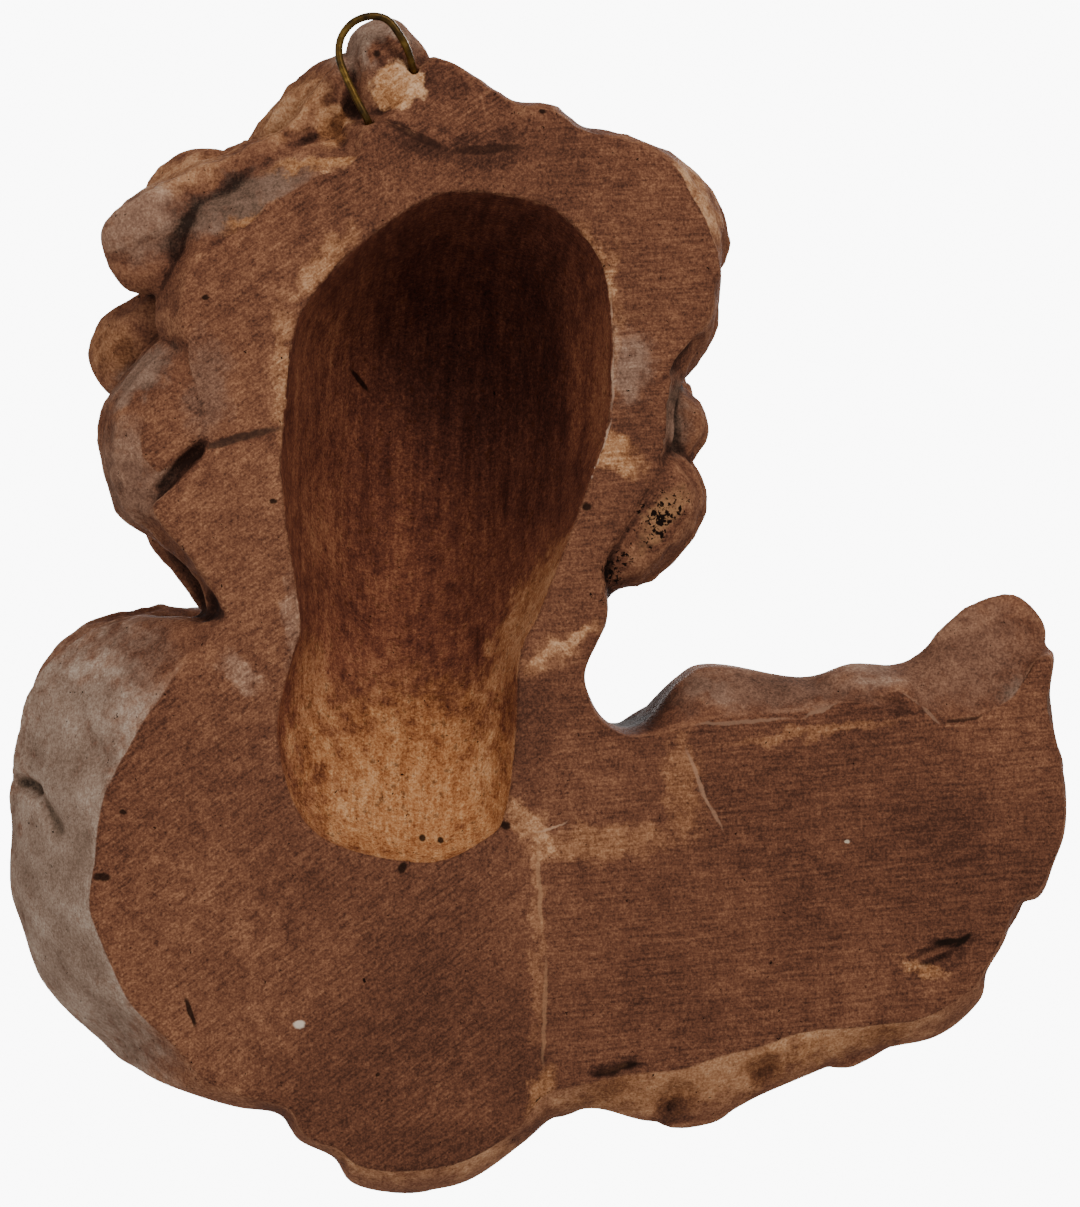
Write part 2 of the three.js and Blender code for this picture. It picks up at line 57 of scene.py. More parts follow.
# The block: one piece of close-grained wood, sawn flat at the back. Its walls are carved to lean
# out from the sawn edge, and its front falls away from the breast to the thin edges of the wings.
# Each row has the sawn edge's x and z, and then how far the wall leans out from it, in millimetres.
BLOCK_DEPTH = 60
AROUND_BLOCK = 900
STRETCHES = [
    ("crown", 10, 1, [
        (2.5, 8.3, -0.1, 5), (-4.2, 12.8, 0, 5.2), (-9.2, 20.6, -0.7, 4.4), (-13.6, 21.8, -1, 3.2),
        (-27.2, 14.5, -1.3, 2.9), (-35.3, 13.4, -1.5, 2.9), (-42, 8.7, -1.7, 2.8)]),
    ("hair on its right", 10, 1, [
        (-51.6, 7, -2, 3.4), (-60.7, 2.5, -5, 2.4), (-67.1, -6.9, -6.5, 0.7), (-71, -15.3, -2.4, -0.4),
        (-70.8, -24.2, -2.4, 1), (-68.2, -31.6, -3.4, -1), (-63.1, -38.6, -3, -2.4),
        (-60.7, -48.6, -2.8, 0.8), (-60.3, -54.9, -3, -0.4), (-58, -63.4, -3, -1),
        (-52.6, -71.8, -3, -0.7), (-46.7, -81.9, -2.4, -0.7)]),
    ("bay", 10, 1, [
        (-47.5, -90.1, -1.3, 0), (-46.9, -95.6, -1.3, -0.1), (-43.7, -102.4, -1.2, -0.2),
        (-43.1, -107, -1, -0.3), (-45.6, -114.1, -1.5, 0.4), (-50.9, -118, -1.2, 1),
        (-56.9, -118.8, -1, 3.8)]),
    ("top of its right wing", 10, 1, [
        (-65.4, -117.8, -0.2, 11.3), (-71.9, -115.5, -1, 11.8), (-89, -114.1, -3, 7.7),
        (-99.8, -111.4, -2.7, 8), (-110.2, -109.5, -2, 6)]),
    ("scooped tip", 11, 1, [
        (-114.6, -112.7, -3, 12), (-120.5, -117.2, -7, 24.9), (-127, -116.4, -9.5, 28.3),
        (-135.8, -111.1, -6.8, 18.8), (-140, -103, -6, 3.4), (-143.7, -102.1, -3.9, 0.4)]),
    ("end of its right wing", 9, 1, [
        (-143, -111.1, -3, -0.4), (-145.7, -126.2, -3.1, -0.6), (-146.6, -136.9, -3.1, -0.8),
        (-143.5, -147.1, -3, -1), (-140.4, -152.9, -3, -1.1), (-136.4, -154.6, -2.9, -1.2),
        (-133.2, -162, -2.8, -1.3), (-129.2, -168.8, -2.8, -1.4)]),
    ("chipped edge", 9, 1, [
        (-125.5, -173, -5, -4), (-115, -178.8, -6.4, -5.4), (-104.2, -179.9, -6.1, -6.8),
        (-89, -181, -5.8, -10.6), (-76.1, -183.9, -7, -12.5), (-65.4, -186.9, -5.2, -14.4),
        (-54.8, -188, -3, -13.8), (-44.2, -190.7, -2, -8), (-34.6, -193.1, -3.1, -7),
        (-28.3, -200.5, -2.2, -5.4)]),
    ("lower tip", 9, 1, [
        (-16.7, -207.4, -1.5, -6.4), (-4.2, -208.4, -1, -7.2), (4.6, -207.3, 0.5, -6),
        (8.3, -204.3, 1, -3.5), (15.6, -201.1, 1.4, -2.8), (18.7, -195.2, 2.4, -3.4),
        (27, -192.5, 3.2, -4.2), (36.2, -189, 8, -3)]),
    ("wall of its left wing", 30, 0.55, [
        (43.4, -180.8, 17, -5), (51.6, -172, 20.2, -1.5), (58.2, -157.9, 20, 1.6),
        (59.2, -149.6, 19.8, 2.6), (56.9, -132.7, 21.8, 0.6), (53.7, -124.4, 25, 2),
        (48.6, -116.2, 30.5, 5.5), (42.4, -107.5, 32, 6), (35.8, -100.1, 27, 7)]),
    ("notch under the hair", 20, 0.8, [
        (32.7, -95.1, 14, 2), (31.5, -92, 6.4, -1), (36.7, -83.9, 2.9, -0.9)]),
    ("hair on its left", 11, 1, [
        (44.5, -75, 3.1, -0.6), (47.5, -69.5, 4, -0.9), (41.8, -64.7, 2, 0.6), (36, -57.6, 1.9, 0.6),
        (36.7, -48.3, 2.9, 1.2), (39.3, -37.5, 5, 0.5), (41, -29.7, 6, 1)]),
    ("facet beside the long lock", 8, 1, [(36.7, -19.1, 4, 12), (28, -13.3, 3, 13), (15.6, -4.6, 3.5, 10.8)]),
    ("foot of the tuft", 11, 1, [(5.8, -0.7, 4.1, 11.3), (3.3, 4.1, 4.5, 9.8)]),
]


def bell(a, b=0):
    return np.exp(-a * a - b * b)


def mix(a, b, t):
    return a + (b - a) * t


def smooth(low, high, value):
    t = np.clip((value - low) / (high - low), 0, 1)
    return t * t * (3 - 2 * t)


def through(points, t, closed=False):
    """Places on a smooth curve through the points, for shares t of the way along it."""
    p = np.array(points, float)
    t = np.asarray(t, float)
    if closed:
        at = (t % 1) * len(p)
        k = np.floor(at).astype(int) % len(p)
        a, b, c, d = (p[(k + i) % len(p)] for i in (-1, 0, 1, 2))
        one = two = three = np.ones((len(t), 1))
    else:
        p = np.vstack([2 * p[0] - p[1], p, 2 * p[-1] - p[-2]])
        at = np.clip(t, 0, 1) * (len(p) - 3)
        k = np.minimum(np.floor(at).astype(int), len(p) - 4)
        a, b, c, d = (p[k + i] for i in range(4))
        one, two, three = (np.sqrt(np.linalg.norm(v - u, axis=1))[:, None] for u, v in ((a, b), (b, c), (c, d)))
    w = (at - np.floor(at) if closed else at - k)[:, None]
    leave = ((b - a) / one - (c - a) / (one + two) + (c - b) / two) * two
    arrive = ((c - b) / two - (d - b) / (two + three) + (d - c) / three) * two
    return b + leave * w + (3 * (c - b) - 2 * leave - arrive) * w ** 2 + (2 * (b - c) + leave + arrive) * w ** 3


def shaped(name, bm, place):
    """A new object from a bmesh, each of its corners moved to where place says, in millimetres."""
    mesh = bpy.data.meshes.new(name)
    bm.to_mesh(mesh)
    bm.free()
    spots = np.empty(len(mesh.vertices) * 3)
    mesh.vertices.foreach_get("co", spots)
    mesh.vertices.foreach_set("co", (place(spots.reshape(-1, 3)) * 0.001).ravel())
    mesh.update()
    thing = bpy.data.objects.new(name, mesh)
    bpy.context.scene.collection.objects.link(thing)
    return thing


def round_blank(around, rings):
    """A ball with about that many corners round it and from pole to pole."""
    bm = bmesh.new()
    bmesh.ops.create_uvsphere(bm, u_segments=around // 4, v_segments=rings // 4, radius=1)
    bmesh.ops.subdivide_edges(bm, edges=bm.edges, cuts=3, use_grid_fill=True)
    for corner in bm.verts:
        corner.co.normalize()
    return bm


def applied(thing):
    """The object with its modifiers worked into its mesh."""
    seen = thing.evaluated_get(bpy.context.evaluated_depsgraph_get())
    mesh = bpy.data.meshes.new_from_object(seen)
    thing.modifiers.clear()
    thing.data = mesh
    return thing


def cut(thing, tool, how):
    """Takes the tool's shape out of the thing, or keeps only what both share, and clears the tool away."""
    step = thing.modifiers.new("cut", "BOOLEAN")
    step.solver = "MANIFOLD"
    step.operation = how
    step.object = tool
    applied(thing)
    bpy.data.objects.remove(tool)
    return thing


sawn = np.array([(x, 0, z) for _, _, _, rows in STRETCHES for x, z, _, _ in rows])
leaning = np.array([(dx, deep, dz) for _, deep, _, rows in STRETCHES for _, _, dx, dz in rows])
flare = np.array([(end, 0, 0) for _, _, end, rows in STRETCHES for _ in rows])


def wall(p):
    t = np.arctan2(p[:, 1], p[:, 0]) / (2 * math.pi)
    ring = p[:, 2] + 0.5
    lean = through(leaning, t, closed=True)
    end = through(flare, t, closed=True)[:, 0]
    depth = np.where(ring < 0.7, lean[:, 1] * ring / 0.7, mix(lean[:, 1], BLOCK_DEPTH, (ring - 0.7) / 0.3))
    within = np.clip(ring / 0.7, 0, 1)
    out = np.where(ring < 0.7, within * 1.55 - 0.55 * within ** 2, mix(1, end, (ring - 0.7) / 0.3))
    edge = through(sawn, t, closed=True)
    edge[:, 0] += lean[:, 0] * out
    edge[:, 2] += lean[:, 2] * out
    edge[:, 1] = -depth
    return edge


def front(x, z):
    breast = 27 * bell((x + 24) / 46, (z + 116) / 38)
    curled_wing = 32 * bell((x - 56) / 31, (z + 144) / 46)
    return -(11 + breast + curled_wing)


bm = bmesh.new()
bmesh.ops.create_cone(bm, cap_ends=True, segments=AROUND_BLOCK, radius1=1, radius2=1, depth=1)
upright = [e for e in bm.edges if abs(e.verts[0].co.z - e.verts[1].co.z) > 0.5]
bmesh.ops.subdivide_edges(bm, edges=upright, cuts=19, use_grid_fill=True)
block = shaped("block", bm, wall)

bm = bmesh.new()
bmesh.ops.create_cube(bm, size=2)
bmesh.ops.subdivide_edges(bm, edges=bm.edges, cuts=90, use_grid_fill=True)


def front_half(p):
    x = mix(-160, 100, (p[:, 0] + 1) / 2)
    z = mix(-225, 50, (p[:, 2] + 1) / 2)
    return np.column_stack([x, mix(10, front(x, z), (1 - p[:, 1]) / 2), z])


cut(block, shaped("front half", bm, front_half), "INTERSECT")
blanks = [block]


# Wings: three rows of feathers on each, from the arm of the wing to its edge, each with its
# shaft and its barbs cut in with a small gouge. Rows of x and z run from the outer side inwards.
WINGS = [
    ("right", 14,
     [(-107, -127.5), (-91, -115), (-79, -117), (-65, -119), (-49, -120), (-34, -118), (-19, -115)],
     [(-142, -91.3), (-148.5, -131), (-137, -161.5), (-107, -189), (-69, -203), (-36, -200.5), (-4, -216)]),
    ("left", 13,
     [(64, -110), (53, -110), (41, -111), (27, -111), (11, -111)],
     [(73.5, -143), (69, -168), (50, -188), (30, -196.5), (11, -205)]),
]
ROWS_OF_FEATHERS = [(1, 1.5, 1.08, 4.4, 0), (0.7, 3.5, 0.95, 4.2, 0.5), (0.42, 6, 0.85, 4.2, 0)]
ARMS = [
    ([(-8, -46, -106), (-26, -43, -116), (-47, -38, -130), (-66, -26, -120.5), (-78, -19, -115),
      (-98, -16, -114), (-122, -17, -105)], [9, 10, 9, 9.5, 9.5, 8, 5.5]),
    ([(-14, -48, -106), (8, -48, -103), (32, -45, -102), (57, -40, -102.5), (73.5, -35, -112)],
     [9, 11, 11, 11, 9]),
]
BARB = 3.7


def along(sizes, t):
    """A size that runs through the list's numbers as t goes from 0 to 1."""
    sizes = np.array(sizes, float)
    at = np.clip(t, 0, 1) * (len(sizes) - 1)
    k = np.minimum(np.floor(at).astype(int), len(sizes) - 2)
    return mix(sizes[k], sizes[k + 1], smooth(0, 1, at - k))


def groove(v):
    """A row of rounded ridges one unit apart, with a sharp gouge cut between them: 0 on a ridge, 1 in a cut."""
    return (2 * np.abs(v - np.floor(v) - 0.5)) ** 2.2


def drawn(name, points, wide, thick, facing, blunt=0.62, around=56, rings=96, relief=None, cuts=()):
    """A ball drawn out along a path, with half sizes wide and thick and its broad side towards facing.
    Knife cuts make flat planes along it, each given by the way that it looks, in degrees round the
    path, and by how much of the half size it leaves there."""
    facing = np.array(facing, float)

    def place(p):
        t = (1 - p[:, 2]) / 2
        ring = np.hypot(p[:, 0], p[:, 1])
        full = np.where(ring > 1e-6, np.maximum(ring, 1e-6) ** (blunt - 1), 0)
        way = through(points, np.minimum(t + 0.002, 1)) - through(points, np.maximum(t - 0.002, 0))
        way /= np.linalg.norm(way, axis=1)[:, None]
        out = facing - way * (way @ facing)[:, None]
        out /= np.linalg.norm(out, axis=1)[:, None]
        side = np.cross(out, way)
        turn = np.arctan2(p[:, 1], p[:, 0])
        for looks, left in cuts:
            full = np.minimum(full, full * left / np.maximum(np.cos(turn - math.radians(looks)), 0.2))
        across = p[:, 0] * full * along(wide, t)
        up = p[:, 1] * full * along(thick, t)
        spots = through(points, t) + side * across[:, None] + out * up[:, None]
        if relief is not None:
            normal = side * np.cos(turn)[:, None] + out * np.sin(turn)[:, None]
            spots += normal * (relief(t, across, turn) * smooth(0.05, 0.5, ring))[:, None]
        return spots

    blanks.append(shaped(name, round_blank(around, rings), place))


def feather(root, tip, width, thick, lift):
    t = np.array([0, 0.35, 0.7, 1])
    x = mix(root[0], tip[0], t)
    z = mix(root[1], tip[1], t)
    y = front(x, z) + 2 - lift * (1 - 0.35 * t)
    mx, mz = mix(root[0], tip[0], 0.6), mix(root[1], tip[1], 0.6)
    tilt = Vector(((front(mx + 1, mz) - front(mx - 1, mz)) / 2, -1, (front(mx, mz + 1) - front(mx, mz - 1)) / 2))
    length = math.dist(root, tip)

    def barbs(t, across, turn):
        shaft = 0.55 * bell(across / 1.3) - 0.35 * bell((np.abs(across) - 2.2) / 0.8)
        lines = 0.95 * groove((t * length - 0.9 * np.abs(across)) / BARB) * smooth(1.6, 3, np.abs(across))
        return (shaft - lines) * smooth(0, 0.5, np.sin(turn)) * smooth(0.15, 0.4, t)

    drawn("feather", np.column_stack([x, y, z]), [width * 0.6, width * 0.85, width, width * 0.95],
          [thick, thick, thick, thick * 0.8], tilt.normalized(), 0.5, 72, int(length * 1.7) + 30, barbs)


for _, width, arm, tips in WINGS:
    for reach, lift, broad, thick, shift in ROWS_OF_FEATHERS:
        for i in range(len(arm) - (1 if shift else 0)):
            n = min(i + 1, len(arm) - 1)
            root = [mix(arm[i][c], arm[n][c], shift) for c in (0, 1)]
            edge = [mix(tips[i][c], tips[n][c], shift) for c in (0, 1)]
            tip = [mix(root[c], edge[c], reach) for c in (0, 1)]
            feather(root, tip, width * broad * (0.75 if i == 0 else 1), thick, lift)


def down(t, across, turn):
    """Short feathers on the arm of a wing: overlapping scale cuts."""
    scale = groove(t * 13 + 0.16 * np.abs(((turn * 3.2) % 2) - 1) * 3)
    return -0.85 * scale * smooth(-0.3, 0.4, np.sin(turn))


for points, radii in ARMS:
    drawn("arm of a wing", points, radii, radii, (0, -1, 0), 0.62, 96, 170, down)


# Head: a calm child's face of usual proportions, turned a little and bowed.
# a runs to the child's left and b upwards, in millimetres from the middle of the head.
HEAD = np.array([-12, -44, -48])
HEAD_RADII = np.array([38.5, 43, 45])
head_turn = (Matrix.Rotation(math.radians(-4), 3, "X") @ Matrix.Rotation(math.radians(-3), 3, "Y")
             @ Matrix.Rotation(math.radians(7), 3, "Z"))


def face(a, b):
    s = np.abs(a)
    out = 2.5 * bell(a / 26, (b - 24) / 16)
    out += 2 * bell((s - 15) / 11, (b - 7) / 4)
    out -= 6 * bell((s - 14.5) / 9.5, (b + 2.5) / 6.5)
    out += 5 * bell((s - 15) / 6.6, (b + 3.5) / 4.6)
    out += 5 * bell(a / 4.6, (b + 6) / 10)
    out += 8 * bell(a / 5.2, (b + 16.5) / 5)
    out += 4.2 * bell((s - 5.6) / 3, (b + 18.5) / 3.2)
    out += 3.4 * bell(a / 13, (b + 28) / 7)
    lips = b - 0.012 * a * a
    out += 2.5 * bell(a / 7.5, (lips + 25.6) / 2)
    out -= 2.9 * bell(a / 9.5, (lips + 28.2) / 1.1)
    out += 2.9 * bell(a / 6.4, (b + 31) / 2.2)
    out -= 1.7 * bell(a / 8, (b + 35) / 2.4)
    out += 4.6 * bell(a / 9, (b + 40) / 5.5)
    out += 4.8 * bell((s - 20) / 11, (b + 19) / 11)
    out -= 1.2 * bell((s - 9.8) / 1.5, (b + 27.2) / 1.5)
    out -= 0.7 * bell(a / 1.5, (b + 22.6) / 1.6)
    out -= 2.4 * bell((s - 3.2) / 1.5, (b + 20.9) / 1.3)
    out -= 1.2 * bell((s - 9.2) / 1.4, (b + 18) / 2.6)
    across = (s - 15) / 7.4
    upper = 3.4 * (1 - across ** 2) - 3.3
    lower = -2.6 * (1 - across ** 2) - 3.7
    inside = np.minimum(upper - b, b - lower)
    out -= 1.1 * smooth(-0.1, 0.8, inside)
    out += 0.9 * bell((b - upper - 0.8) / 0.9) * smooth(1.15, 0.85, np.abs(across))
    out += 0.5 * bell((b - lower + 0.8) / 0.8) * smooth(1.1, 0.8, np.abs(across))
    out -= 1.1 * bell((b - upper - 2.7) / 0.9) * smooth(1.2, 0.8, np.abs(across))
    out -= 1 * bell((s - 14.6) / 1.4, (b + 3) / 1.4)
    return out


def head_shape(p):
    across, back, up = p.T
    jaw = 1 - 0.14 * smooth(0.1, 0.9, -up)
    a = across * HEAD_RADII[0] * jaw
    b = up * HEAD_RADII[2]
    c = -back * HEAD_RADII[1] + face(a, b) * smooth(0.15, 0.6, -back)
    return np.column_stack([a, -c, b]) @ np.array(head_turn).T + HEAD


blanks.append(shaped("head", round_blank(480, 360), head_shape))


# Hair: fat curls round the face and long locks that make the outline from behind. Each lock is
# ridged with gouge cuts on the side that shows from the front, and knife-cut flat behind.
HAIR = np.array([-10, -31, -38])
HAIR_RADII = np.array([54, 35, 56])
NAPE = ((-8, -24, -98), (37, 30, 22))
CURLS = [
    (84, (-90,), 9.5), (78, (90,), 12), (46, (-62, -21, 21, 62), 12), (20, (-63, 63), 12), (-5, (-68, 68), 11.5),
    (-34, (-66, 66), 11), (24, (-98,), 11), (-8, (-98,), 11),
]
LOCKS = [
    ("top tuft", [(-3, -15, -2), (-3, -14, 12), (-1.8, -13.5, 24), (0, -14, 34)], [9, 10.5, 10.5, 8.5], None,
     [(-35, 0.84), (-90, 0.88), (-145, 0.84)]),
    ("behind the tuft", [(-4, -17, 14), (-16, -18, 13), (-30, -19, 8), (-42, -21, -2)], [6, 8, 8, 5], None,
     [(-30, 0.87), (-90, 0.87), (-150, 0.87)]),
    ("long lock to its left", [(7, -10, 26), (13, -11, 12), (24, -12, -0.5), (36, -12.5, -8), (47, -13, -13.5),
                               (57, -14, -17)], [3, 6, 10.5, 13, 14, 13.5], [3, 5, 7.5, 9.5, 13, 14],
     [(-12, 0.8), (-92, 0.78), (-118, 0.82)]),
    ("behind the long lock", [(18, -24, -3), (39, -28, 2.5), (48.5, -30, -6)], [6, 6.5, 6], None,
     [(-40, 0.84), (-110, 0.84)]),
    ("left of the tuft", [(4, -18, 26), (10.5, -21, 19.3), (18, -24, 13.5), (26.5, -27, 5)], [6, 7.5, 7, 6], None,
     [(-30, 0.86), (-100, 0.8)]),
    ("curl end", [(32, -20, -30), (45, -23, -30), (53.5, -26, -35), (54.5, -27, -46)], [7, 8.5, 8.5, 7], None,
     [(-40, 0.82), (-90, 0.84), (-150, 0.84)]),
    ("lock over the ear", [(30, -12, -33), (39.5, -12, -43), (43.5, -12.5, -54), (43.5, -12.5, -66),
                           (38, -13, -77)], [7, 13.5, 17, 15, 8], [7, 12, 13.2, 12.6, 8],
     [(-12, 0.86), (-48, 0.9)]),
    ("lock behind the ear", [(34, -18, -56), (43.5, -21, -69), (37, -22, -82), (29, -22, -95)], [7, 8, 7, 6], None,
     [(-30, 0.86), (-90, 0.86), (-150, 0.86)]),
    ("neck lock", [(36, -29, -68), (36, -31, -81.5), (28, -29, -96)], [7, 7, 6], None, [(-30, 0.86), (-90, 0.86)]),
    ("round lock to its right", [(-44, -14, 0), (-57, -14, 1), (-66, -14, -6), (-69, -14, -14), (-66, -13, -25)],
     [5, 8, 8.5, 8, 6], None, [(-150, 0.86), (-90, 0.86)]),
    ("lock below it", [(-62, -12, -13), (-68, -12, -27), (-64, -12, -42)], [5, 6.5, 5], None,
     [(-150, 0.84), (-90, 0.88)]),
    ("small curl", [(-57, -12, -42), (-65.7, -12, -52), (-63, -12, -61)], [5, 6, 5], None,
     [(-150, 0.84), (-90, 0.88)]),
    ("worm-eaten lock", [(-50, -10, -56), (-61.3, -9.5, -66.5), (-56.5, -9.5, -77), (-44, -10, -87)],
     [7, 10, 9, 6], [7, 9.9, 9.7, 7], [(-152, 0.84), (-38, 0.92)]),
]
STRAND = 4.1


def ball(name, at, radii, relief=None):
    def place(p):
        spots = p * np.array(radii) + np.array(at)
        return spots + p * relief(p)[:, None] if relief else spots

    blanks.append(shaped(name, round_blank(320, 200), place))


def combed(p):
    round_it = np.arctan2(p[:, 0], -p[:, 1])
    return -0.8 * groove(round_it * 9 + 1.2 * np.sin(p[:, 2] * 7 + round_it * 2)) * smooth(0.98, 0.8, np.abs(p[:, 2]))


ball("hair", HAIR, HAIR_RADII, combed)
ball("nape", *NAPE)


def strands(girth, deep, front_only):
    count = max(3, round(girth / STRAND))

    def relief(t, across, turn):
        cuts = groove(turn * count / (2 * math.pi) + 0.25 * np.sin(t * 9))
        shown = smooth(-0.7, 0.1, np.sin(turn)) if front_only else 1
        return -deep * cuts * shown * smooth(0.02, 0.15, t)

    return relief


def curl(round_it, height, size, turn):
    az, el = math.radians(round_it), math.radians(height)
    out = np.array([math.sin(az) * math.cos(el), -math.cos(az) * math.cos(el), math.sin(el)])
    middle = out * HAIR_RADII + HAIR
    facing = out / HAIR_RADII
    facing /= np.linalg.norm(facing)
    level = np.cross((0, 0, 1), facing)
    level /= np.linalg.norm(level)
    rise = np.cross(facing, level)
    points = []
    for k in range(10):
        angle = math.radians(115 - turn * k * 43)
        reach = size * (mix(1, 0.62, k / 5) if k <= 5 else mix(0.62, 0.1, (k - 5) / 4))
        spot = middle + facing * size * mix(-0.2, 0.3, min(k / 5, 1.1))
        points.append(spot + level * math.cos(angle) * reach + rise * math.sin(angle) * reach)
    thick = [size * share for share in (0.35, 0.5, 0.58, 0.6, 0.58, 0.52, 0.42, 0.3)]
    drawn("curl", points, thick, thick, facing, 0.7, 56, 150, strands(6.2 * 0.55 * size, 1.25, False))


for height, rounds, size in CURLS:
    for round_it in rounds:
        curl(round_it, height, size, 1 if round_it < 0 else -1)
for name, points, radii, thick, cuts in LOCKS:
    drawn(name, points, radii, thick or radii, (0, -1, 0), 0.5, 92, 132,
          strands(6.2 * max(radii), 1.1, True), cuts)


# One skin over all the parts, as they are one piece of wood.
def skinned(thing, fineness):
    """The thing with one even skin over all the parts that overlap in it, its squares so many millimetres wide."""
    skin = thing.modifiers.new("skin", "REMESH")
    skin.mode = "VOXEL"
    skin.voxel_size = fineness * 0.001
    return applied(thing)


bm = bmesh.new()
for part in blanks:
    bm.from_mesh(part.data)
    bpy.data.objects.remove(part)
carving = skinned(shaped("carving_wood", bm, lambda p: p * 1000), 0.7)


# The back: sawn flat, bevelled off above the hook, and hollowed behind the head with long strokes
# of a gouge, so that the block dries without splitting. RIM goes round the hollow's edge in x and z.
RIM = [
    (-18.8, -4.1), (-31.5, -5.8), (-38, -8.6), (-46.3, -18.2), (-48.8, -32.9), (-48, -51.8), (-42.7, -68.7),
    (-33.6, -91.8), (-29.4, -101.3), (-28.4, -119.1), (-26.2, -134.8), (-22, -140), (-10.4, -144.7),
    (8.3, -141.2), (17.3, -133.4), (21.4, -117), (18.1, -101.2), (16.6, -93.9), (19.9, -70), (20.4, -58.6),
    (18.7, -39.8), (15.6, -28.6), (3.8, -15.3), (-9.4, -6.1),
]
FLOOR_LINE = ((-12, -40), (-6, -122))
BEVEL = [(1, 1.2), (1, 40), (-6.8, 37.2), (-5.2, 21.2), (-2, 9.2)]
BEVEL_RUN = (-34, 8)
rim_points = [(x, 0, z) for x, z in RIM]


def depth_at(z):
    return mix(17, 54, smooth(-134, -66, z))


def rim_share(x, z):
    """0 on the line of the hollow's floor and 1 on its rim, and more than 1 outside it."""
    (ax, az), (bx, bz) = FLOOR_LINE
    t = np.clip(((x - ax) * (bx - ax) + (z - az) * (bz - az)) / ((bx - ax) ** 2 + (bz - az) ** 2), 0, 1)
    from_floor = np.hypot(x - mix(ax, bx, t), z - mix(az, bz, t))
    loop = through(rim_points, np.linspace(0, 1, 200, endpoint=False), closed=True)
    to_rim = np.full(len(x), 1e9)
    inside = np.zeros(len(x), bool)
    for (cx, _, cz), (dx, _, dz) in zip(loop, np.roll(loop, -1, axis=0)):
        t = np.clip(((x - cx) * (dx - cx) + (z - cz) * (dz - cz)) / ((dx - cx) ** 2 + (dz - cz) ** 2), 0, 1)
        to_rim = np.minimum(to_rim, np.hypot(x - mix(cx, dx, t), z - mix(cz, dz, t)))
        crosses = (cz > z) != (dz > z)
        inside ^= crosses & (x < (dx - cx) * (z - cz) / (dz - cz + 1e-12) + cx)
    return np.where(inside, from_floor / (from_floor + to_rim), 1 + to_rim)


def floor_at(x, z):
    """How far down the hollow goes there, 0 from its rim outwards."""
    return -depth_at(z) * (1 - np.minimum(rim_share(x, z), 1) ** 2.4) ** 0.62


def of_hollow(p, normal):
    """Whether a spot with its normal belongs to the hollow's walls or floor."""
    floor = floor_at(p[:, 0], p[:, 2])
    return (floor < 0) & (p[:, 1] < -0.4) & (p[:, 1] > floor - 8) & (normal[:, 1] > -0.3)


def gouged(p):
    x = p[:, 0] * 38 - 14
    z = p[:, 1] * 74 - 75
    y = floor_at(x, z)
    level = np.where(y < 0, 0, 1)
    strokes = 0.25 * groove((x + 0.12 * z + 2.5 * np.sin(z / 23)) / 6.5) + 0.3 * groove((y + 0.1 * z) / 7)
    y += strokes * smooth(0, 5, -y) + level
    return np.column_stack([x, np.where(p[:, 2] > 0.5, 5, y), z])


bm = bmesh.new()
bmesh.ops.create_cube(bm, size=1)
cut(carving, shaped("sawn off", bm, lambda p: p * (400, 40, 400) + (0, 20, -90)), "DIFFERENCE")

bm = bmesh.new()
profile = bm.faces.new([bm.verts.new((0, y, z)) for y, z in BEVEL])
run = bmesh.ops.extrude_face_region(bm, geom=[profile])["geom"]
bmesh.ops.translate(bm, verts=[v for v in run if isinstance(v, bmesh.types.BMVert)], vec=(1, 0, 0))
lengthwise = [e for e in bm.edges if abs(e.verts[0].co.x - e.verts[1].co.x) > 0.5]
bmesh.ops.subdivide_edges(bm, edges=lengthwise, cuts=27, use_grid_fill=True)
bmesh.ops.triangulate(bm, faces=bm.faces)
bmesh.ops.recalc_face_normals(bm, faces=bm.faces)


def bevel_line(x):
    """How much higher the bevel's lower edge lies there: it is a shallow V."""
    return np.where(x > -16, 0.38 * (x + 16), -0.14 * (x + 16))


def bevel_place(p):
    x = mix(*BEVEL_RUN, p[:, 0])
    return np.column_stack([x, mix(1, p[:, 1], smooth(-35, -27, x)), p[:, 2] + bevel_line(x)])


cut(carving, shaped("bevel", bm, bevel_place), "DIFFERENCE")
bm = bmesh.new()
bmesh.ops.create_grid(bm, x_segments=190, y_segments=360, size=1)
lid = bmesh.ops.extrude_face_region(bm, geom=bm.faces[:])["geom"]
bmesh.ops.translate(bm, verts=[v for v in lid if isinstance(v, bmesh.types.BMVert)], vec=(0, 0, 1))
hollow = shaped("hollow", bm, gouged)
bm = bmesh.new()
bm.from_mesh(hollow.data)
bmesh.ops.recalc_face_normals(bm, faces=bm.faces)
bm.to_mesh(hollow.data)
bm.free()
cut(carving, hollow, "DIFFERENCE")

# The holes that the wire's two ends were driven into.
WIRE = [
    (-7.4, -9, 20.6), (-7.1, -5.6, 22.6), (-6, -3.2, 25.6), (-4.3, -2, 28.6), (-1.6, -1.7, 31.8),
    (1.6, -1.6, 32.5), (5.4, -1.6, 31.2), (8, -1.6, 28), (8.5, -1.7, 24), (7, -1.8, 19.6),
    (4.8, -2, 15), (2.6, -2.6, 11), (1.5, -5.4, 8.6), (1.2, -9.4, 7.6),
]
WIRE_RADIUS = 0.8


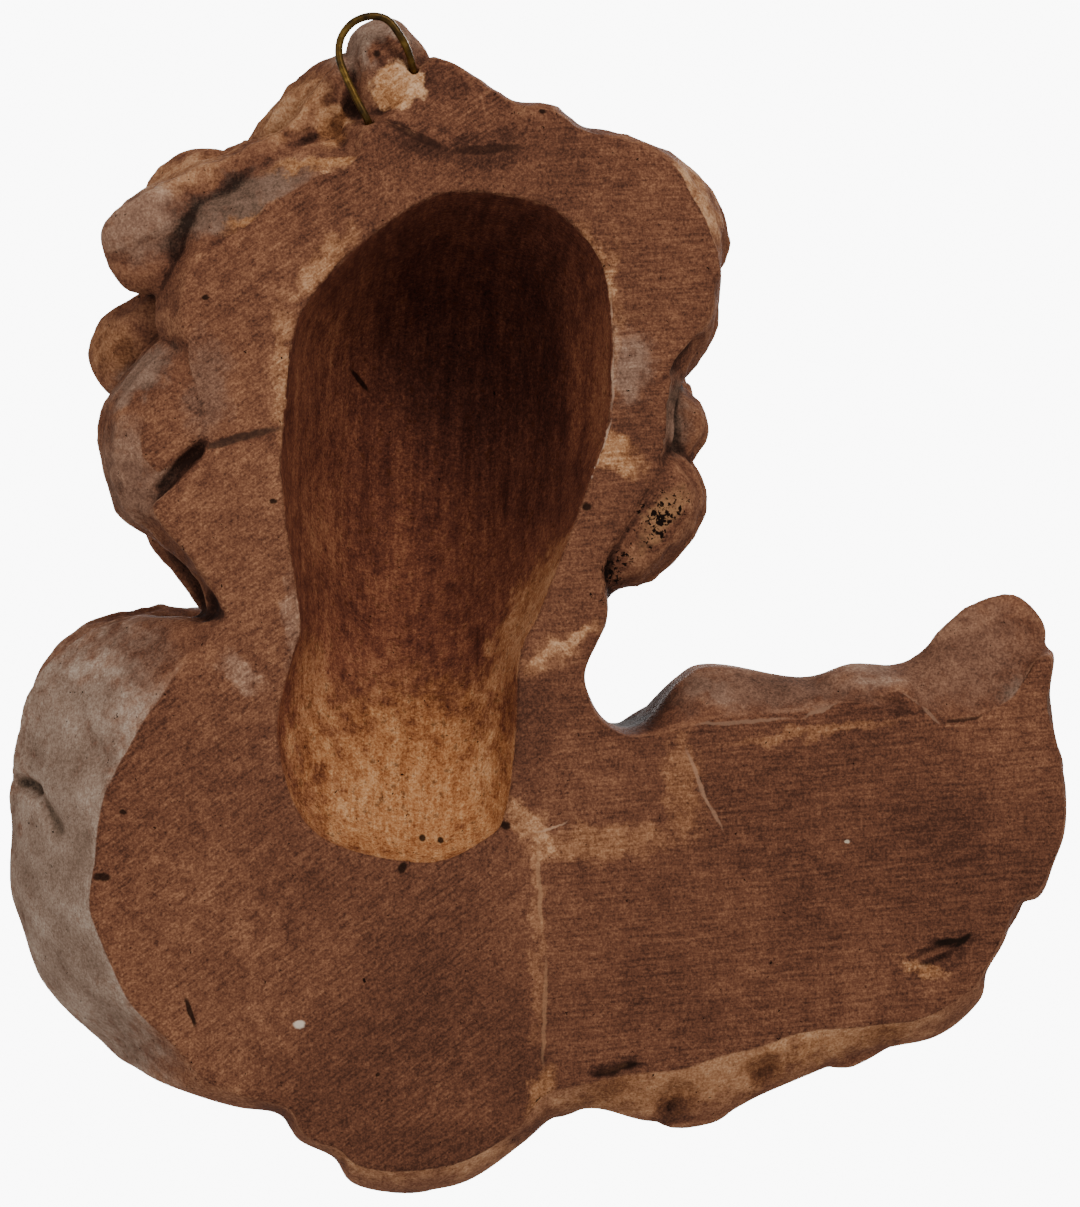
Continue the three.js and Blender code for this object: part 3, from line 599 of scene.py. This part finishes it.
def rod(name, path, radius, around, steps):
    """A round rod of even thickness along a path, closed at its ends."""
    bm = bmesh.new()
    bmesh.ops.create_cone(bm, cap_ends=True, segments=around, radius1=1, radius2=1, depth=1)
    long_edges = [e for e in bm.edges if abs(e.verts[0].co.z - e.verts[1].co.z) > 0.5]
    bmesh.ops.subdivide_edges(bm, edges=long_edges, cuts=steps, use_grid_fill=True)

    def place(p):
        t = p[:, 2] + 0.5
        way = through(path, np.minimum(t + 0.004, 1)) - through(path, np.maximum(t - 0.004, 0))
        way /= np.linalg.norm(way, axis=1)[:, None]
        side = np.cross(way, (0.13, 1, 0.1))
        side /= np.linalg.norm(side, axis=1)[:, None]
        out = np.cross(way, side)
        return through(path, t) + radius * (side * p[:, :1] + out * p[:, 1:2])

    return shaped(name, bm, place)


cut(carving, rod("wire holes", WIRE, WIRE_RADIUS + 0.35, 24, 120), "DIFFERENCE")
skinned(carving, 0.62)


# Wear: the knife left shallow facets all over the carved wood, and years of handling have
# rounded its edges and knocked chips out of the rim of the back and the ends of the feathers.
def numbers(data, field, width, kind=float):
    values = np.empty(len(data) * width, kind)
    data.foreach_get(field, values)
    return values.reshape(-1, width)


def eased(values, edges, rounds):
    """Each corner's values averaged with its neighbours', so many times over."""
    count = np.bincount(edges.ravel(), minlength=len(values))[:, None]
    for _ in range(rounds):
        total = np.column_stack([
            np.bincount(edges[:, 0], values[edges[:, 1], c], len(values))
            + np.bincount(edges[:, 1], values[edges[:, 0], c], len(values)) for c in range(values.shape[1])])
        values = 0.5 * values + 0.5 * total / count
    return values


def uneven(p, size, seed):
    """A smooth value from about -1 to 1 that changes over so many millimetres."""
    dice = np.random.default_rng(seed)
    total = 0
    for _ in range(7):
        way = dice.normal(size=3)
        way *= 2 * math.pi / (size * dice.uniform(0.7, 1.6)) / np.linalg.norm(way)
        total = total + np.sin(p @ way + dice.uniform(0, 2 * math.pi))
    return total / 3


# Knocks and knife cuts in the back and the wall of its left wing: x and z, half length and half
# width, how many degrees each rises to the right seen from the back, and how deep it is.
KNOCKS = [
    (42.6, -63.5, 8, 1.5, 46, 2.6), (28.8, -56.3, 8, 1, 8, 0.5), (-118.5, -165.8, 5, 2.2, 20, 0.9),
    (74.5, -129.5, 2.6, 1.6, -30, 2.4), (70, -134, 6, 1.6, -55, 1.4), (76.5, -124.5, 2, 5, 0, -0.8),
    (-65, -38, 6, 1.2, 50, 1.4), (55, -92, 9, 2, 12, 1.2),
    (62, -116, 12, 2.4, -62, 0.8), (-102, -110, 10, 1.6, -14, 1.3), (-49, -188.5, 5, 1.4, 15, 0.6),
    (-63, -196, 4, 3, 60, 1.2), (-82, -190, 3, 2.5, 30, 1),
]
mesh = carving.data
p = numbers(mesh.vertices, "co", 3) * 1000
edges = numbers(mesh.edges, "vertices", 2, np.int32)
normal = numbers(mesh.vertices, "normal", 3)
in_hollow = of_hollow(p, normal)
flat = p[:, 1] > -0.4
bulge = np.einsum("ij,ij->i", p - eased(p, edges, 12), normal)
on_face = bell((p[:, 0] + 12) / 30, (p[:, 2] + 56) / 34) * (p[:, 1] < -55)
carved = ~flat & ~in_hollow
on_hair = smooth(-104, -90, p[:, 2]) * (1 - 0.85 * on_face)
facets = 0.5 - 0.75 * np.abs(uneven(p, 17, 3)) - 0.3 * np.abs(uneven(p, 8, 4))
facets = mix(0.22 * uneven(p, 11, 6) * (1 - 0.85 * on_face), facets, on_hair)
lift = np.where(carved, facets, 0)
for x, z, long, wide, turn, deep in KNOCKS:
    turn = math.radians(turn)
    right, up = x - p[:, 0], p[:, 2] - z
    along_it = (right * math.cos(turn) + up * math.sin(turn)) / long
    across_it = (up * math.cos(turn) - right * math.sin(turn)) / wide
    shown = smooth(0, 0.3, normal[:, 1]) * (p[:, 1] > -45) * (~in_hollow)
    lift -= deep * bell(along_it ** 2, across_it) * shown
lift -= np.clip(bulge - 0.12, 0, 1) * (0.5 + 0.9 * np.clip(uneven(p, 14, 5), 0, 2)) * (1 - 0.8 * on_face)
p += normal * lift[:, None]
p[:, 1] = np.minimum(p[:, 1], 0)
mesh.vertices.foreach_set("co", (p * 0.001).ravel())
mesh.update()

thin = carving.modifiers.new("fewer faces", "DECIMATE")
thin.ratio = min(1, 192000 / (2 * len(mesh.polygons)))
thin.use_collapse_triangulate = True
applied(carving)
mesh = carving.data
mesh.shade_smooth()

p = numbers(mesh.vertices, "co", 3) * 1000
edges = numbers(mesh.edges, "vertices", 2, np.int32)
normal = numbers(mesh.vertices, "normal", 3)
hollowed = of_hollow(p, normal)
bulge = np.einsum("ij,ij->i", p - eased(p, edges, 10), normal)
# swell, kept as the height attribute, falls below zero in cuts and recesses, where the material paints shade.
swell = np.einsum("ij,ij->i", p - eased(p, edges, 60), normal)
slope = np.interp(p[:, 2] - bevel_line(p[:, 0]), [1.2] + [z for _, z in BEVEL[:1:-1]], [1] + [y for y, _ in BEVEL[:1:-1]])
bevelled = (np.abs(p[:, 1] - slope) < 0.8) & (np.abs(p[:, 0] + 15) < 21) & (normal[:, 1] > 0.7) & (p[:, 2] > 3)
for name, values in (("hollowed", hollowed), ("edge", bulge), ("height", swell), ("bevelled", bevelled)):
    field = mesh.attributes.new(name, "FLOAT", "POINT")
    field.data.foreach_set("value", values.astype(np.float32))


# The wood is limewood stained walnut brown and never varnished, dry with age, so it is nearly matt.
# Dust has greyed the carved sides, and where hands and walls have rubbed it the bare tan wood shows.
# Each finish runs from its darkest spots to its palest.
FINISHES = {
    "stained": [(0.28, "#281711"), (0.42, "#503125"), (0.5, "#6f4532"), (0.58, "#8b5d43"), (0.7, "#ba8762")],
    "bare": [(0.28, "#3b2112"), (0.42, "#77492c"), (0.5, "#9c6942"), (0.58, "#bd8a61"), (0.7, "#e1b68d")],
    "amber": [(0.28, "#3e1d0d"), (0.42, "#7b4422"), (0.5, "#a4663a"), (0.58, "#c48957"), (0.7, "#e5b381")],
    "dusty": [(0.28, "#3b3028"), (0.42, "#6f5949"), (0.5, "#876d5c"), (0.58, "#9d8472"), (0.7, "#c3ad9b")],
    "reddened": [(0.28, "#251511"), (0.42, "#4c2920"), (0.5, "#673a2b"), (0.58, "#864f38"), (0.7, "#af7652")],
}


def linear(code):
    """An sRGB hex colour as the linear values that a shader takes."""
    shares = [int(code[i:i + 2], 16) / 255 for i in (1, 3, 5)]
    return [c / 12.92 if c < 0.04045 else ((c + 0.055) / 1.055) ** 2.4 for c in shares] + [1]


def add(kind, sockets, stops=None, **settings):
    """Adds a node to the tree with its settings, what feeds its sockets and, on a ramp, its colour stops."""
    node = tree.nodes.new("ShaderNode" + kind)
    for name, value in settings.items():
        setattr(node, name, value)
    for socket, value in sockets.items():
        if isinstance(value, bpy.types.NodeSocket):
            tree.links.new(value, node.inputs[socket])
        else:
            node.inputs[socket].default_value = value
    for i, (at, code) in enumerate(stops or []):
        ends = node.color_ramp.elements
        stop = ends[0] if i == 0 else ends[-1] if i == len(stops) - 1 else ends.new(at)
        stop.position = at
        stop.color = linear(code)
    return node.outputs


wood = bpy.data.materials.new("stained_limewood")
wood.use_nodes = True
tree = wood.node_tree
surface = tree.nodes["Principled BSDF"]
place = add("TexCoord", {})["Object"]
split = add("SeparateXYZ", {"Vector": place})
wander = add("TexNoise", {"Vector": place, "Scale": 190, "Detail": 5, "Roughness": 0.65})["Color"]
wander = add("VectorMath", {0: wander, 1: (0.5, 0.5, 0.5)}, operation="SUBTRACT")["Vector"]
ragged, wavy = (
    add("VectorMath", {0: wander, 1: (far, far, far), 2: place}, operation="MULTIPLY_ADD")["Vector"]
    for far in (0.011, 0.0022))


def together(terms, total=0.0):
    """Patterns laid over each other, from pairs of a pattern and its share."""
    for value, share in terms:
        total = add("Math", {0: value, 1: share, 2: total}, operation="MULTIPLY_ADD")["Value"]
    return total


def between(value, low, high, most=1.0):
    """Rises from 0 to most as the value goes from low to high."""
    return add("MapRange", {"Value": value, "From Min": low, "From Max": high, "To Max": most},
               interpolation_type="SMOOTHSTEP")["Result"]


def over(colour, share, top):
    """The top colour laid over the colour by a share from 0 to 1."""
    top = linear(top) if isinstance(top, str) else top
    return add("Mix", {0: share, 6: colour, 7: top}, data_type="RGBA")[2]


def area(x, z, long, wide, turn, at, deep=60):
    """1 in the middle of an oval seen from the back and 0 beyond its edge, from half sizes in millimetres.
    Seen from there, its long way rises so many degrees to the right."""
    own = add("Mapping", {"Vector": at, "Location": (x * 0.001, -0.012, z * 0.001),
                          "Rotation": (0, math.radians(turn), 0),
                          "Scale": (long * 0.001, deep * 0.001, wide * 0.001)}, vector_type="TEXTURE")["Vector"]
    return add("TexGradient", {"Vector": own}, gradient_type="SPHERICAL")["Fac"]


def speckle(size, detail=2, at=place):
    """Uneven spots about so many millimetres wide."""
    return add("TexNoise", {"Vector": at, "Scale": 1000 / size, "Detail": detail, "Roughness": 0.62})["Fac"]


def lines(turn, long, wide, detail=2):
    """Streaks so many millimetres long and wide that rise so many degrees to the right, seen from the back."""
    own = add("Mapping", {"Vector": place, "Rotation": (0, math.radians(turn), 0),
                          "Scale": (long * 0.001, 0.01, wide * 0.001)}, vector_type="TEXTURE")["Vector"]
    return add("TexNoise", {"Vector": own, "Scale": 1, "Detail": detail, "Roughness": 0.6})["Fac"]


def finished(tone, base, rows, deep=60):
    """One face of the wood in its finish, with its worn, dusty and dirty areas and some patches of painted shade.
    A row has an area's x, z, half length, half width and turn, how much paler it is, and its own finish
    and the share of that."""
    shown = []
    for x, z, long, wide, turn, paler, kind, share in rows:
        mask = between(add("Math", {0: area(x, z, long, wide, turn, ragged, deep), 1: broken},
                           operation="MULTIPLY")["Value"], 0.08, 0.65)
        tone = together([(mask, paler)], tone)
        shown.append((mask, kind, share))
    colour = add("ValToRGB", {"Fac": tone}, FINISHES[base])["Color"]
    other = {kind: add("ValToRGB", {"Fac": tone}, FINISHES[kind])["Color"] for kind in {r[6] for r in rows if r[7]}}
    for mask, kind, share in shown:
        if share:
            colour = over(colour, add("Math", {0: mask, 1: share}, operation="MULTIPLY")["Value"], other[kind])
    return colour


blotch = speckle(3.4, 4)
broken = together([(blotch, 2.2)], -0.1)
mottle = speckle(24, 6)
fine = speckle(0.9, 2)
grit = speckle(0.45, 1)

# The sawn back: the saw's lines slant up towards its left shoulder and run level on the long wing.
edge = add("Attribute", {}, attribute_name="edge")["Fac"]
saw = add("Mix", {0: between(split["X"], -0.02, -0.045), 2: lines(36, 5, 0.6), 3: lines(4, 9, 0.7)})[0]
tone = together([(saw, 0.24), (mottle, 0.2), (blotch, 0.2), (fine, 0.26), (grit, 0.16),
                 (between(edge, 0.04, 0.25), 0.05)], -0.085)
back = finished(tone, "stained", [
    (45, -168, 44, 40, 0, 0.042, "", 0), (30, -62, 34, 90, 0, 0.047, "", 0), (-95, -138, 56, 40, 0, -0.02, "", 0),
    (-18, 12, 24, 7, 0, 0.065, "", 0), (-55, -25, 26, 40, 0, 0.015, "", 0),
    (-13, -186, 44, 36, 0, -0.03, "", 0), (-8, -206, 28, 11, 0, -0.05, "", 0),
    (-128, -146, 34, 30, 0, -0.035, "", 0), (-80, -128, 34, 11, 6, -0.015, "", 0),
    (-90, -175, 46, 14, 8, 0.01, "", 0), (-30, -114, 10, 22, 0, -0.04, "", 0),
    (-20, 6, 34, 8, 4, -0.015, "", 0), (-46, -20, 14, 4.5, -65, 0.06, "bare", 0.5),
    (-50, -59, 10, 5, -30, 0.09, "bare", 0.8), (-49, -30, 24, 2.4, 90, 0.04, "bare", 0.3),
    (11, -19, 14, 5, 48, 0.06, "bare", 0.5), (20, -43, 24, 3.6, 92, 0.04, "bare", 0.4),
    (18, -95, 14, 3, 92, 0.05, "dusty", 0.3), (-33, -161, 36, 2, 90, 0.04, "bare", 0.2),
    (-31, -137, 11, 4, -50, 0.07, "bare", 0.5), (-34, -194, 10, 5, 80, 0.06, "bare", 0.6),
    (-46, -141, 22, 6, 3, 0.05, "bare", 0.4), (-64, -129, 18, 6, 95, 0.05, "bare", 0.35),
    (-39.5, -99, 14, 2.6, 30, 0.08, "bare", 0.5), (-36, -101, 12, 6, 30, 0.03, "bare", 0.15),
    (-92, -118, 26, 2.2, 8, 0.04, "bare", 0.4), (-136, -122, 10, 30, 0, 0.03, "", 0),
    (-53, -41, 6.5, 12, 0, 0.04, "dusty", 0.5), (29, -105, 9, 4, -35, 0.06, "dusty", 0.3),
    (36, -45, 7, 16, 0, -0.03, "dusty", 0.25), (-116, -168, 8, 2.6, -20, 0.1, "bare", 0.7),
    # (-121, -163) darkens the back round the chip in the right wing's edge: painted shadow.
    (-49.5, -188, 11, 3, 15, -0.12, "", 0), (-121, -163, 10, 2.6, 14, -0.1, "", 0),
    # (-7, 6) and (-23, 3) darken the back just below the bevel's lower edge: painted shade.
    (-7, 6, 12, 3.5, -24, -0.07, "", 0), (-23, 3, 12, 3, 5, -0.06, "", 0),
])
# Marks laid over the back: scratches, stains, worm holes and a crack, and some lines of painted shadow.
SCRATCHES_AND_PAINTED_SHADOWS = [
    # (-7.5, 7.6) and (-22, 4.8) are dark lines along the bevel's lower edge: painted shade.
    (30, -56.3, 14, 1.3, 15, 0.75, "#34251e"), (-7.5, 7.6, 10, 1.5, -24, 0.75, "#2d1a14"),
    (-22, 4.8, 11, 1.4, 5, 0.75, "#2d1a14"), (-48.9, -38, 16, 0.5, 90, 0.7, "#b6957d"),
    (-46.4, -58.6, 9, 0.5, 71, 0.8, "#c1a28b"), (-67, -127, 9, 0.6, -68, 0.6, "#ac8367"),
    (-70, -134, 7, 0.5, -60, 0.5, "#ac8367"), (-33.5, -150, 14, 0.7, 92, 0.4, "#b48965"),
    (-34.5, -176, 16, 0.7, 88, 0.4, "#ad815e"), (-36, -137.5, 5, 0.4, 20, 0.6, "#c39b7b"),
    (39.3, -175.1, 4.6, 0.8, -72, 0.9, "#1b0f0a"), (-50, -188.5, 7, 1.2, 15, 0.9, "#1b0f0a"),
    # The two marks at (-121.5, -162.6) and (-124.5, -162.3) are the painted shadow of that chip.
    (-121.5, -162.6, 5, 1.1, 14, 0.9, "#18100b"), (-124.5, -162.3, 3, 1, 40, 0.9, "#18100b"),
    (22.2, -69.2, 1.2, 0.9, 0, 0.9, "#1b0f0a"), (-43.5, -70, 1.5, 1.2, 0, 0.9, "#1b0f0a"),
    (36.2, -26.9, 1.1, 0.9, 0, 0.9, "#1b0f0a"), (52.9, -133.7, 1.2, 0.9, 0, 0.9, "#1b0f0a"),
    (-4.6, -145.6, 2, 1.4, 60, 0.9, "#1b0f0a"), (-26.2, -136.9, 1.7, 1.3, 0, 0.9, "#1b0f0a"),
    (57.5, -147, 2.6, 1.2, 0, 0.9, "#1b0f0a"), (12.5, 0.9, 1.1, 0.8, 0, 0.9, "#1b0f0a"),
    (-34, 13, 1.1, 0.8, 0, 0.9, "#1b0f0a"), (0.5, -189, 0.9, 0.7, 0, 0.9, "#1b0f0a"),
    (-102, -108, 1.3, 1.1, 0, 0.9, "#1b0f0a"), (16.8, -178.1, 1.9, 1.2, 0, 0.95, "#ddcab4"),
    (-99.5, -141.2, 0.8, 0.5, 0, 0.9, "#cdb89f"), (-75.7, -115.6, 16, 0.6, 3, 0.6, "#97735b"),
    (-94.3, -112.6, 7, 0.6, 23, 0.7, "#97735b"), (-104.7, -109.2, 6.5, 0.6, 12, 0.7, "#97735b"),
    (-112.5, -110, 4.2, 0.6, -36, 0.7, "#97735b"), (-117.5, -114.1, 4, 0.6, -44, 0.6, "#97735b"),
    (-124.6, -115.2, 6, 0.6, 12, 0.8, "#2d1a13"), (-133.2, -111.1, 6, 0.6, 39, 0.8, "#2d1a13"),
    (-138.8, -105.2, 4.5, 0.6, 57, 0.7, "#2d1a13"),
]
for x, z, long, wide, turn, share, colour in SCRATCHES_AND_PAINTED_SHADOWS:
    back = over(back, between(area(x, z, long, wide, turn, wavy), 0.1, 0.5, share), colour)
back = over(back, between(fine, 0.66, 0.74, 0.4), "#25140d")

# The hollow: darker at its deep end, bare and speckled at its shallow one.
strokes = lines(88, 30, 2.4, 3)
pit_tone = together([(strokes, 0.24), (lines(86, 7, 0.6), 0.14), (mottle, 0.2), (blotch, 0.22), (fine, 0.26),
                     (grit, 0.16)], -0.09)
pit = finished(pit_tone, "reddened", [
    (-24, -30, 40, 42, 0, -0.1, "", 0), (-34, -58, 15, 36, 0, -0.05, "", 0), (12, -56, 14, 44, 0, 0.035, "", 0),
    (-9, -131, 40, 34, 0, 0.03, "amber", 0.75), (-9, -136, 30, 20, 0, 0.02, "amber", 0.3),
    (10, -84, 34, 7, 92, 0.04, "", 0), (-46, -36, 30, 8, 92, 0.05, "", 0), (-12, -92, 24, 18, 0, 0.02, "", 0),
    (-31, -96, 30, 6, 62, 0.06, "amber", 0.4), (-4, -92, 34, 8, 88, 0.03, "", 0),
    (14, -112, 20, 7, 90, 0.02, "amber", 0.4), (-46, -45, 30, 5, 92, 0.04, "", 0),
], 300)
pit = over(pit, between(speckle(1.7, 4), 0.57, 0.67, 0.6), "#45200f")
pit = over(pit, between(speckle(0.8, 3, at=ragged), 0.6, 0.7, 0.6), "#3b1a0e")
for x, z, long, wide, turn in [(2.5, -39.9, 4.6, 0.9, -48), (-9.4, -140.3, 1, 1, 0), (-13.2, -140.7, 0.9, 0.9, 0)]:
    pit = over(pit, between(area(x, z, long, wide, turn, place, 300), 0.1, 0.5, 0.9), "#130906")

# The carved sides and the front: greyed by dust, orange-brown where they are rubbed, and darkened in the cuts with
# painted shade.
height = add("Attribute", {}, attribute_name="height")["Fac"]
# The terms on height darken the tone where the carving is hollowed: painted shade in the cuts and recesses.
side_tone = together([(speckle(14, 5), 0.19), (speckle(6, 3, at=ragged), 0.1), (blotch, 0.12), (fine, 0.22),
                      (grit, 0.15), (between(edge, 0.06, 0.3), 0.06), (between(height, -0.1, -1.1), -0.15),
                      (between(height, -0.05, -0.4), -0.05)], 0.105)
stained = finished(side_tone, "stained", [
    (66, -150, 38, 90, 0, 0.02, "dusty", 1.0), (64, -112, 24, 14, 0, 0.02, "dusty", 0.6),
    (19, 15, 14, 10, 40, 0.03, "bare", 0.6), (41, 1.5, 16, 8, 20, 0.03, "bare", 0.4),
    (50, -10, 15, 14, 0, 0.04, "dusty", 0.4), (28, -6, 22, 8, 24, -0.055, "dusty", 0.65),
    (13.5, 1.4, 16, 3, 5, 0.02, "bare", 0.9), (26.5, -10.5, 10, 3.6, 25, 0.03, "bare", 0.9),
    (57, -36, 9, 9, 0, 0.01, "bare", 0.4), (53, -64, 14, 16, 0, 0, "dusty", 0.35),
    (50, -43, 12, 6, 40, -0.03, "dusty", 0.6), (-66, -6, 10, 17, 0, 0.08, "bare", 0.6),
    (1, 28, 13, 10, 0, 0, "dusty", 0.7), (9.5, 10, 5, 6, 0, 0.08, "bare", 0.8),
    (-122, -100, 30, 20, 0, 0.02, "dusty", 0.2), (-85, -108, 36, 9, 4, -0.01, "dusty", 0.3),
    (-106, -105, 9, 4.4, -20, 0.02, "dusty", 0.3), (-70, -108, 10, 4, -30, -0.02, "dusty", 0.2),
    (-67, -191, 46, 11, 11, 0.025, "bare", 0.5), (-100, -182, 30, 8, 12, 0.02, "bare", 0.5),
    (-8, -206, 30, 8, 0, 0.03, "bare", 0.4), (-62, -50, 7, 12, 0, 0, "dusty", 0.5),
    (-139, -112, 9, 8, 0, -0.04, "dusty", 0.7), (-63, -199, 7, 5, 40, -0.08, "", 0),
    # (-58, -112) darkens the arm of the right wing at the bay: painted shade against the rim of light from the glow
    # behind.
    (-58, -112, 11, 8, 30, -0.12, "", 0),
    (-46, -192, 10, 4, 0, -0.06, "", 0), (-82, -190, 6, 5, 0, -0.07, "", 0),
], 48)
stained = over(stained, between(fine, 0.66, 0.74, 0.4), "#25160f")
is_back = add("Math", {0: between(split["Y"], -0.0008, -0.00045),
                       1: add("Attribute", {}, attribute_name="bevelled")["Fac"]}, operation="MAXIMUM")["Value"]
is_pit = add("Attribute", {}, attribute_name="hollowed")["Fac"]
colour = over(over(stained, is_pit, pit), is_back, back)
# Worms have eaten one lock on its right: a cluster of holes, and pale dust in the ragged ones.
spots = add("TexNoise", {"Vector": place, "Scale": 800, "Detail": 3, "Roughness": 0.7, "Distortion": 0.4})["Fac"]
wormy = together([(area(-49, -84, 8, 5, 60, ragged), 1.6), (area(-59.5, -72.5, 12, 6, 52, ragged), 1.6)])
eaten = between(together([(spots, 1), (wormy, 0.14)]), 0.66, 0.7)
dust = between(add("Math", {0: area(-59.5, -72.5, 12, 4, 52, ragged), 1: broken},
                   operation="MULTIPLY")["Value"], 0.1, 0.8, 0.7)
colour = over(colour, dust, "#b18158")
colour = over(colour, between(together([(eaten, 1), (wormy, 0.6)], -0.6), 0, 0.4), "#160c08")
# Above the hook a patch has lost its stain, and a nail has left its hole beside it.
tan = add("ValToRGB", {"Fac": together([(tone, 1), (mottle, 0.25)], -0.005)}, FINISHES["bare"])["Color"]
lost = between(together([(area(-4, 18.3, 9.5, 8.5, 20, wavy, 22), 1), (blotch, 0.5)]), 0.5, 0.62)
colour = over(colour, lost, tan)
colour = over(colour, between(area(0.6, 25.4, 1.5, 1.3, 0, wavy, 18), 0.1, 0.5, 0.9), "#1c110c")
tree.links.new(colour, surface.inputs["Base Color"])
surface.inputs["Roughness"].default_value = 0.82
surface.inputs["Specular IOR Level"].default_value = 0.06
relief = together([(saw, 0.1), (blotch, 0.14), (fine, 0.14), (grit, 0.06), (strokes, 0.10)])
bump = add("Bump", {"Height": relief, "Distance": 0.001, "Strength": 1.0})["Normal"]
tree.links.new(bump, surface.inputs["Normal"])
carving.data.materials.clear()
carving.data.materials.append(wood)

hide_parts("carving")
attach(carving, "root")


# The hanging wire: one bent piece of brass wire, both ends driven into the tuft of hair, gone
# dull and brown but still bright where it bends.
wire = rod("wire_loop", WIRE, WIRE_RADIUS, 24, 160)
wire.data.shade_smooth()
brass = bpy.data.materials.new("tarnished_brass_wire")
brass.use_nodes = True
tree = brass.node_tree
surface = tree.nodes["Principled BSDF"]
place = add("TexCoord", {})["Object"]
dull = add("TexNoise", {"Vector": place, "Scale": 350, "Detail": 4})["Fac"]
film = add("ValToRGB", {"Fac": dull}, [(0.35, "#2f2210"), (0.55, "#5f4519"), (0.72, "#94763a")])["Color"]
tree.links.new(film, surface.inputs["Base Color"])
surface.inputs["Roughness"].default_value = 0.42
surface.inputs["Metallic"].default_value = 0.85
wire.data.materials.clear()
wire.data.materials.append(brass)
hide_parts("hanging_wire")
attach(wire, "root")


# A pale floor well below the carving, pale air all round it, and soft lamps.
bm = bmesh.new()
bmesh.ops.create_circle(bm, cap_ends=True, segments=96, radius=4000)
floor = shaped("floor", bm, lambda p: p - (0, 0, 1250))
world = bpy.data.worlds.new("studio")
world.use_nodes = True
tree = world.node_tree
way = add("TexCoord", {})["Generated"]
ahead = add("VectorMath", {0: way, 1: (-0.1, -0.995, 0)}, operation="DOT_PRODUCT")["Value"]
glow = add("MapRange", {"Value": ahead, "From Min": 0.87, "From Max": 0.955, "To Min": 0.5, "To Max": 9.5},
           interpolation_type="SMOOTHSTEP")["Result"]
tree.links.new(glow, tree.nodes["Background"].inputs["Strength"])
tree.nodes["Background"].inputs["Color"].default_value = (1, 1, 1, 1)
bpy.context.scene.world = world
for name, place, aim, size, watts in (
    ("key", (-500, 1100, 700), (0, 0, -90), 600, 9),
    ("fill", (900, 800, 100), (0, 0, -90), 900, 3),
    ("front", (-500, -1100, 650), (0, 0, -90), 450, 7),
):
    lamp = bpy.data.lights.new(name, "AREA")
    lamp.size = size * 0.001
    lamp.energy = watts
    thing = bpy.data.objects.new(name, lamp)
    thing.location = Vector(place) * 0.001
    thing.rotation_euler = (Vector(aim) * 0.001 - thing.location).to_track_quat("-Z", "Y").to_euler()
    bpy.context.scene.collection.objects.link(thing)
